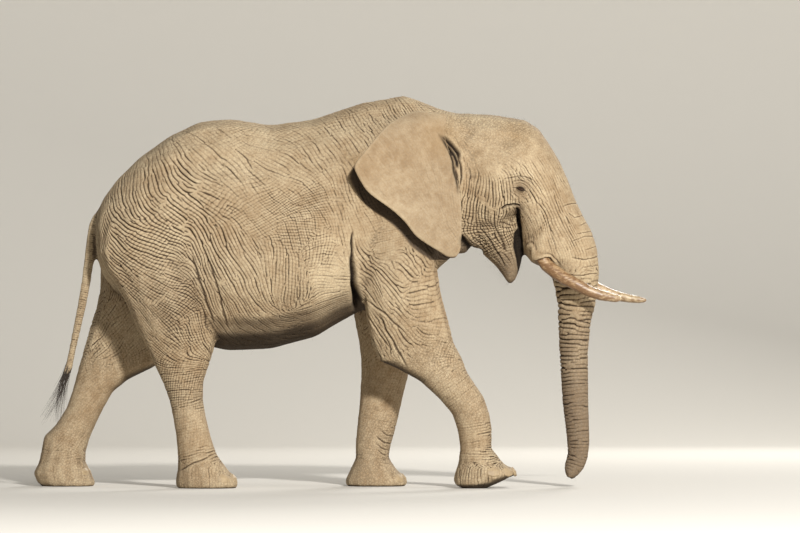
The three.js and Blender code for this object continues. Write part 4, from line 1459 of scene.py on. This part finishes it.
class ElephantEyeSettings(PropertyGroup):
    """Size and colours of the eyes."""

    radius: size_setting("Radius", "Radius of the eyeball", EYE_RADIUS, 0.02, 0.04)
    iris: colour_setting("Iris", "3d2412", "Ring round the pupil")
    white: colour_setting("White", "3c2b20", "Edge of the eyeball")


class ElephantHairSettings(PropertyGroup):
    """Amount, size and colours of the hair."""

    tail_count: count_setting("Tail hairs", "Hairs of the tail's tuft", 130, 20, 1500)
    tail_length: size_setting("Tail hair length", "Longest hair of the tuft", LONG_HAIR, 0.1, 0.8)
    bristle_count: count_setting("Bristles", "Short hairs of the head, back and chin", 2600, 1, 8000)
    lash_count: count_setting("Lashes", "Lashes of each eye", 34, 1, 120)
    hair: colour_setting("Hair", "26201b", "New hair")
    faded: colour_setting("Faded hair", "4a3d31", "Hair with dust in it")


class ElephantStageSettings(PropertyGroup):
    """Floor, light and camera."""

    floor: colour_setting("Floor", "d2cdc3", "Floor and backdrop")
    distance: size_setting("Camera distance", "From the camera to the animal", 60, 8, 200)
    height: size_setting("Camera height", "Of the lens above the floor", 1.55, 0.2, 6)
    key: size_setting("Key light", "Power of the main light", 17500, 0, 60000, "POWER")
    fill: size_setting("Fill light", "Power of the soft light", 50, 0, 20000, "POWER")
    front: size_setting("Front light", "Power of the light before the head", 650, 0, 20000, "POWER")
    back: size_setting("Back light", "Power of the light behind the animal", 1600, 0, 20000, "POWER")
    sky: size_setting("Room light", "Strength of the light from all sides", 0.18, 0, 3, "NONE")
    walls: size_setting("Room walls", "Brightness of the empty room", 0.5, 0, 1, "NONE")


# ------------------------------------------------------------------ operators


def finished(thing, material, nodes):
    """Gives a piece its material, its body and the nodes that it stands for."""
    thing.data.materials.append(material)
    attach(thing, "root")
    if nodes:
        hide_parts(*nodes)


class ELEPHANT_OT_skin(Operator):
    """Build the skin over the flesh of the frame"""

    bl_idname = "elephant.skin"
    bl_label = "Skin"

    def execute(self, context):
        settings = context.scene.elephant_skin
        size = settings.size * 1
        points, triangles, owner, normals, ears, values, places = skin_shape(size, settings.depth)
        if len(points) < 10000:
            raise RuntimeError("the skin came out nearly empty")
        skin = mesh_object("hide", points, triangles)
        set_map(skin, island_map(points, triangles, owner, normals))
        for name, rows in {**values, **skin_marks(points, normals, ears)}.items():
            set_values(skin, name, rows)
        for name, (middle, axes) in zip(SIDES, places):
            skin["eye_" + name] = [*middle, *axes.ravel()]
        finished(skin, hide_material(settings), flesh_names())
        return {"FINISHED"}


class ELEPHANT_OT_eyes(Operator):
    """Build the two eyeballs behind their lids"""

    bl_idname = "elephant.eyes"
    bl_label = "Eyes"

    def execute(self, context):
        settings = context.scene.elephant_eye
        material = eye_material(settings)
        for side in SIDES:
            points, triangles, angle = ball(settings.radius, *eye_facts(side), 28, 40)
            eye = mesh_object("eyeball_" + side, points, triangles)
            set_values(eye, "gaze", angle)
            finished(eye, material, ["eye_" + side])
        return {"FINISHED"}


class ELEPHANT_OT_tusks(Operator):
    """Build the tusks"""

    bl_idname = "elephant.tusks"
    bl_label = "Tusks"

    def execute(self, context):
        material = ivory_material(context.scene.elephant_tusk)
        for side in SIDES:
            points, triangles = smooth_copy("tusk_" + side, IVORY_STEP, 16 * MM)
            tusk = mesh_object("ivory_" + side, points, triangles)
            finished(tusk, material, ["tusk_" + side])
        return {"FINISHED"}


class ELEPHANT_OT_nails(Operator):
    """Build the toenails"""

    bl_idname = "elephant.nails"
    bl_label = "Nails"

    def execute(self, context):
        material = nail_material(context.scene.elephant_tusk)
        for name in names_with("fore_nail", "hind_nail"):
            points, triangles = smooth_copy(name, NAIL_STEP, 6 * MM, -0.5 * MM)
            nail = mesh_object(name.replace("nail", "toenail"), points, triangles)
            finished(nail, material, [name])
        return {"FINISHED"}


class ELEPHANT_OT_hair(Operator):
    """Build the tail's tuft, the lashes and the sparse bristles"""

    bl_idname = "elephant.hair"
    bl_label = "Hair"

    def execute(self, context):
        settings = context.scene.elephant_hair
        material = hair_material(settings)
        skin = skin_arrays()
        for name, build, nodes in (
            ("tail_hair", tail_hair, ["tail_tuft"]),
            ("lashes", lash_hair, []),
            ("bristles", bristle_hair, []),
        ):
            points, triangles, corners = build(settings, *skin)
            piece = mesh_object(name, points, triangles)
            set_map(piece, corners)
            finished(piece, material, nodes)
        return {"FINISHED"}


class ELEPHANT_OT_stage(Operator):
    """Build the floor, the lights and the camera"""

    bl_idname = "elephant.stage"
    bl_label = "Stage"

    def execute(self, context):
        settings = context.scene.elephant_stage
        floor = backdrop()
        floor.data.materials.append(floor_material(settings.floor))
        for name, place, size in LAMPS:
            light = bpy.data.lights.new(name, "AREA")
            light.size = size
            light.energy = getattr(settings, name)
            lamp = bpy.data.objects.new(name, light)
            lamp.location = place
            lamp.rotation_euler = aimed(place, LAMP_TARGET)
            lamp.visible_camera = False
            context.scene.collection.objects.link(lamp)
        world = bpy.data.worlds.new("room")
        world.use_nodes = True
        room = world.node_tree.nodes["Background"]
        room.inputs["Color"].default_value = (1.0, 1.0, 1.0, 1.0)
        seen = add_node(world.node_tree, "LightPath", out="Is Camera Ray")
        bright = add_node(world.node_tree, "MapRange", seen, 0.0, 1.0, settings.sky, settings.walls)
        link(bright, room, "Strength")
        context.scene.world = world
        context.scene.view_settings.view_transform = "Standard"
        lens = bpy.data.cameras.new("camera")
        lens.sensor_width = 36.0
        lens.lens = lens.sensor_width * settings.distance / FRAME_WIDTH
        lens.clip_end = 4 * settings.distance
        camera = bpy.data.objects.new("camera", lens)
        camera.location = (FRAME_MIDDLE[0], -settings.distance, settings.height)
        camera.rotation_euler = aimed(camera.location, (FRAME_MIDDLE[0], 0.0, FRAME_MIDDLE[1]))
        context.scene.collection.objects.link(camera)
        context.scene.camera = camera
        return {"FINISHED"}


def aimed(place, target):
    """Rotation that points a light or a camera at a target."""
    return (Vector(target) - Vector(place)).to_track_quat("-Z", "Y").to_euler()


def backdrop():
    """Floor that curves up into a wall far behind the animal."""
    turns = np.linspace(0, math.pi / 2, 24)
    depth = np.concatenate([[FLOOR_NEAR], FLOOR_FAR + WALL_BEND * np.sin(turns), [FLOOR_FAR + WALL_BEND]])
    rise = np.concatenate([[0.0], WALL_BEND * (1 - np.cos(turns)), [WALL_HEIGHT]])
    left = np.stack([np.full(len(depth), -FLOOR_SIDE), depth, rise], 1)
    points = np.concatenate([left, left + (2 * FLOOR_SIDE, 0, 0)])
    count = len(depth)
    row = np.arange(count - 1)
    triangles = np.concatenate(
        [np.stack([row, row + count, row + 1], 1), np.stack([row + 1, row + count, row + count + 1], 1)]
    )
    return mesh_object("floor", points, triangles)


def painted_ear_shadow(points, ears):
    """1 for hide that lies well behind an ear, where the ear's shadow is painted as dark bare hide out of the
    dust, and 0 elsewhere.
    """
    blade = points[(ears > 0.9) & (points[:, 1] > 0)]
    levels = np.arange(1.88, 2.9, 0.02)
    edges = [blade[np.abs(blade[:, 2] - level) < 0.02, 0] for level in levels]
    height = points[:, 2] + EAR_SHADOW_INSET[1]
    first, last = (np.interp(height, levels, [end(edge) for edge in edges]) for end in (np.min, np.max))
    place = points[:, 0] + EAR_SHADOW_INSET[0]
    inside = ramp(first, first + 0.03, place) * ramp(last, last - 0.03, place)
    return inside * (1 - ears) * (height > levels[0]) * (height < levels[-1])


def skin_marks(points, normals, ears):
    """Where dust, brown earth, bare grey hide, the cracks of the hide and the painted shadow of the ears lie,
    each 0 to 1; the grey holds painted shade on the undersides too.
    """
    height = points[:, 2]
    cloud = noise(points, 0.35, 71)
    top = ramp(0.25, 0.95, normals[:, 2])
    dust = 0.42 + 0.3 * top + spots(points, "dust") - 0.08 * ears + 0.15 * cloud
    earth = spots(points, "earth")
    is_trunk = points[:, 0] > TRUNK_START
    trunk = is_trunk * (ramp(1.7, 1.1, height) + 0.45 * ramp(1.2, 0.6, height))
    chin = 0.75 * spot(points, *CHIN) * ~is_trunk
    grey = 0.12 * ramp(1.3, 0.5, height) * ~is_trunk + 0.6 * trunk + chin
    # Painted shade on the undersides, laid as bare grey hide.
    grey = np.maximum(grey, 0.9 * ramp(-0.55, -0.95, normals[:, 2]))
    grey = grey + spots(points, "grey")
    grey = np.maximum.reduce([grey, 0.4 * spot(points, *EYE_SPOT, 0.065), 0.3 * ears])
    # Painted shadow of each ear on the neck and shoulder, as bare grey hide with less dust.
    shelter = painted_ear_shadow(points, ears)
    grey = np.maximum(grey, shelter)
    dust -= 0.5 * shelter
    cells = 0.35 + 0.5 * top + spots(points, "cells") + 0.3 * ramp(1.7, 1.3, height)
    cells *= (1 - 0.6 * ears) * (1 + 0.4 * cloud)
    marks = {"dust": dust, "earth": earth, "grey": grey + 0.1 * cloud, "cells": cells, "shelter": shelter}
    return {name: np.clip(values, 0, 1) for name, values in marks.items()}


def tail_hair(settings, points, normals, places):
    """Two rows of long hairs at the end of the tail, hanging and curling back."""
    random = np.random.default_rng(81)
    count = settings.tail_count
    x, y, z = points.T
    some = np.flatnonzero((x < -2.08) & (z > 0.87) & (z < 1.2) & (np.abs(y) < 0.08))
    weight = np.maximum(1.08 - z[some], 0) ** 2
    chosen = random.choice(some, count, p=weight / weight.sum())
    lock = random.random(count) < 0.45
    lengths = settings.tail_length * random.uniform(0.45, 1, count)
    ways = unit(np.array([-0.34, 0, -1.0]) + 0.03 * normals[chosen] + random.normal(0, 0.012, (count, 3)))
    bends = np.where(lock[:, None], (-0.12, 0.02, 0.05), (0.14, 0.0, -0.02))
    parts, owners = [], []
    share = np.linspace(0, 1, 12)[:, None]
    for number, root in enumerate(points[chosen]):
        length = lengths[number]
        curl = random.normal(0, 0.02, 3) * length
        path = root + ways[number] * length * share + (bends[number] * length + curl) * share**2
        parts.append(tube(path, 1.1 * MM * (1 - 0.75 * share[:, 0]), 3))
        owners.append(np.full(len(parts[-1][1]), number))
    made, triangles = joined(parts)
    return made, triangles, hair_map(made, triangles, np.concatenate(owners), places[chosen], LONG_HAIR)


def eye_facts(side):
    """Middle and axes of an eyeball, as the skin has kept them."""
    facts = np.array(bpy.data.objects["hide"]["eye_" + side])
    return facts[:3], facts[3:].reshape(3, 3)


def lash_hair(settings, points, _normals, places):
    """Lashes along the upper lid of each eye, and a few below."""
    random = np.random.default_rng(82)
    roots, ways = [], []
    for side in SIDES:
        middle, axes = eye_facts(side)
        for number in range(settings.lash_count):
            a = LID_REACH * random.uniform(-0.85, 0.85)
            upper = number % 4 != 0
            line, gap = slit(a)
            b = line + (gap + 1 * MM) * (1 if upper else -1)
            c = math.sqrt((EYE_RADIUS + 4 * MM) ** 2 - a * a - b * b)
            roots.append(middle + np.array([a, b, c]) @ axes)
            ways.append(np.array([0.35, -0.35 if upper else -0.9, 1.0]) @ axes)
    ways = unit(np.array(ways) + random.normal(0, 0.08, (len(ways), 3)))
    lengths = random.uniform(0.03, 0.055, len(ways))
    made, triangles, owners = strands(np.array(roots), ways, lengths, 0.35 * MM, (0, 0, -0.35), 5, 83)
    nearest = [int(np.argmin(np.sum((points - root) ** 2, axis=1))) for root in roots]
    return made, triangles, hair_map(made, triangles, owners, places[nearest], SHORT_HAIR)


def bristle_hair(settings, points, normals, places):
    """Sparse stiff bristles on the crown, the back, the chin and the trunk."""
    random = np.random.default_rng(84)
    x, z = points[:, 0], points[:, 2]
    chin = spot(points, *CHIN_HAIR) * (x < TRUNK_START)
    crown = ramp(2.75, 2.95, z) * (x > 0.9)
    spine = ramp(2.8, 3.0, z) * 0.35 + 0.03 * (z > 0.9)
    trunk = (x > 1.6) * (z < 2.2) * 0.25
    weight = chin + crown + spine + trunk
    chosen = random.choice(len(points), settings.bristle_count, p=weight / weight.sum())
    ways = unit(0.7 * normals[chosen] + random.normal(0, 0.25, (len(chosen), 3)) + (-0.2, 0, -0.15))
    lengths = random.uniform(0.012, 0.04, len(chosen)) * (1 + 0.8 * chin[chosen])
    made, triangles, owners = strands(points[chosen], ways, lengths, 0.28 * MM, (-0.1, 0, -0.2), 4, 85)
    return made, triangles, hair_map(made, triangles, owners, places[chosen], SHORT_HAIR)


class VIEW3D_PT_elephant(Panel):
    """Buttons and settings of the elephant, in the sidebar"""

    bl_label = "Elephant"
    bl_space_type = "VIEW_3D"
    bl_region_type = "UI"
    bl_category = "Elephant"

    def draw(self, context):
        for button, group in PANEL_ROWS:
            box = self.layout.box()
            box.operator(button)
            if group:
                settings = getattr(context.scene, group)
                for name in settings.__annotations__:
                    box.prop(settings, name)


GROUPS = {
    "elephant_skin": ElephantSkinSettings,
    "elephant_eye": ElephantEyeSettings,
    "elephant_tusk": ElephantTuskSettings,
    "elephant_hair": ElephantHairSettings,
    "elephant_stage": ElephantStageSettings,
}
OPERATORS = (
    ELEPHANT_OT_skin,
    ELEPHANT_OT_eyes,
    ELEPHANT_OT_tusks,
    ELEPHANT_OT_nails,
    ELEPHANT_OT_hair,
    ELEPHANT_OT_stage,
)
PANEL_ROWS = (
    ("elephant.skin", "elephant_skin"),
    ("elephant.eyes", "elephant_eye"),
    ("elephant.tusks", "elephant_tusk"),
    ("elephant.nails", None),
    ("elephant.hair", "elephant_hair"),
    ("elephant.stage", "elephant_stage"),
)


def register():
    """Adds the settings, the operators and the panel."""
    for kind in (*GROUPS.values(), *OPERATORS, VIEW3D_PT_elephant):
        bpy.utils.register_class(kind)
    for name, kind in GROUPS.items():
        setattr(bpy.types.Scene, name, PointerProperty(type=kind))


def unregister():
    """Takes them away again."""
    for name in GROUPS:
        delattr(bpy.types.Scene, name)
    for kind in (VIEW3D_PT_elephant, *reversed(OPERATORS), *GROUPS.values()):
        bpy.utils.unregister_class(kind)


def main():
    """Builds every piece."""
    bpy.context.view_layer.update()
    register()
    bpy.ops.elephant.skin()
    bpy.ops.elephant.eyes()
    bpy.ops.elephant.tusks()
    bpy.ops.elephant.nails()
    bpy.ops.elephant.hair()
    bpy.ops.elephant.stage()


if __name__ == "__main__":
    main()
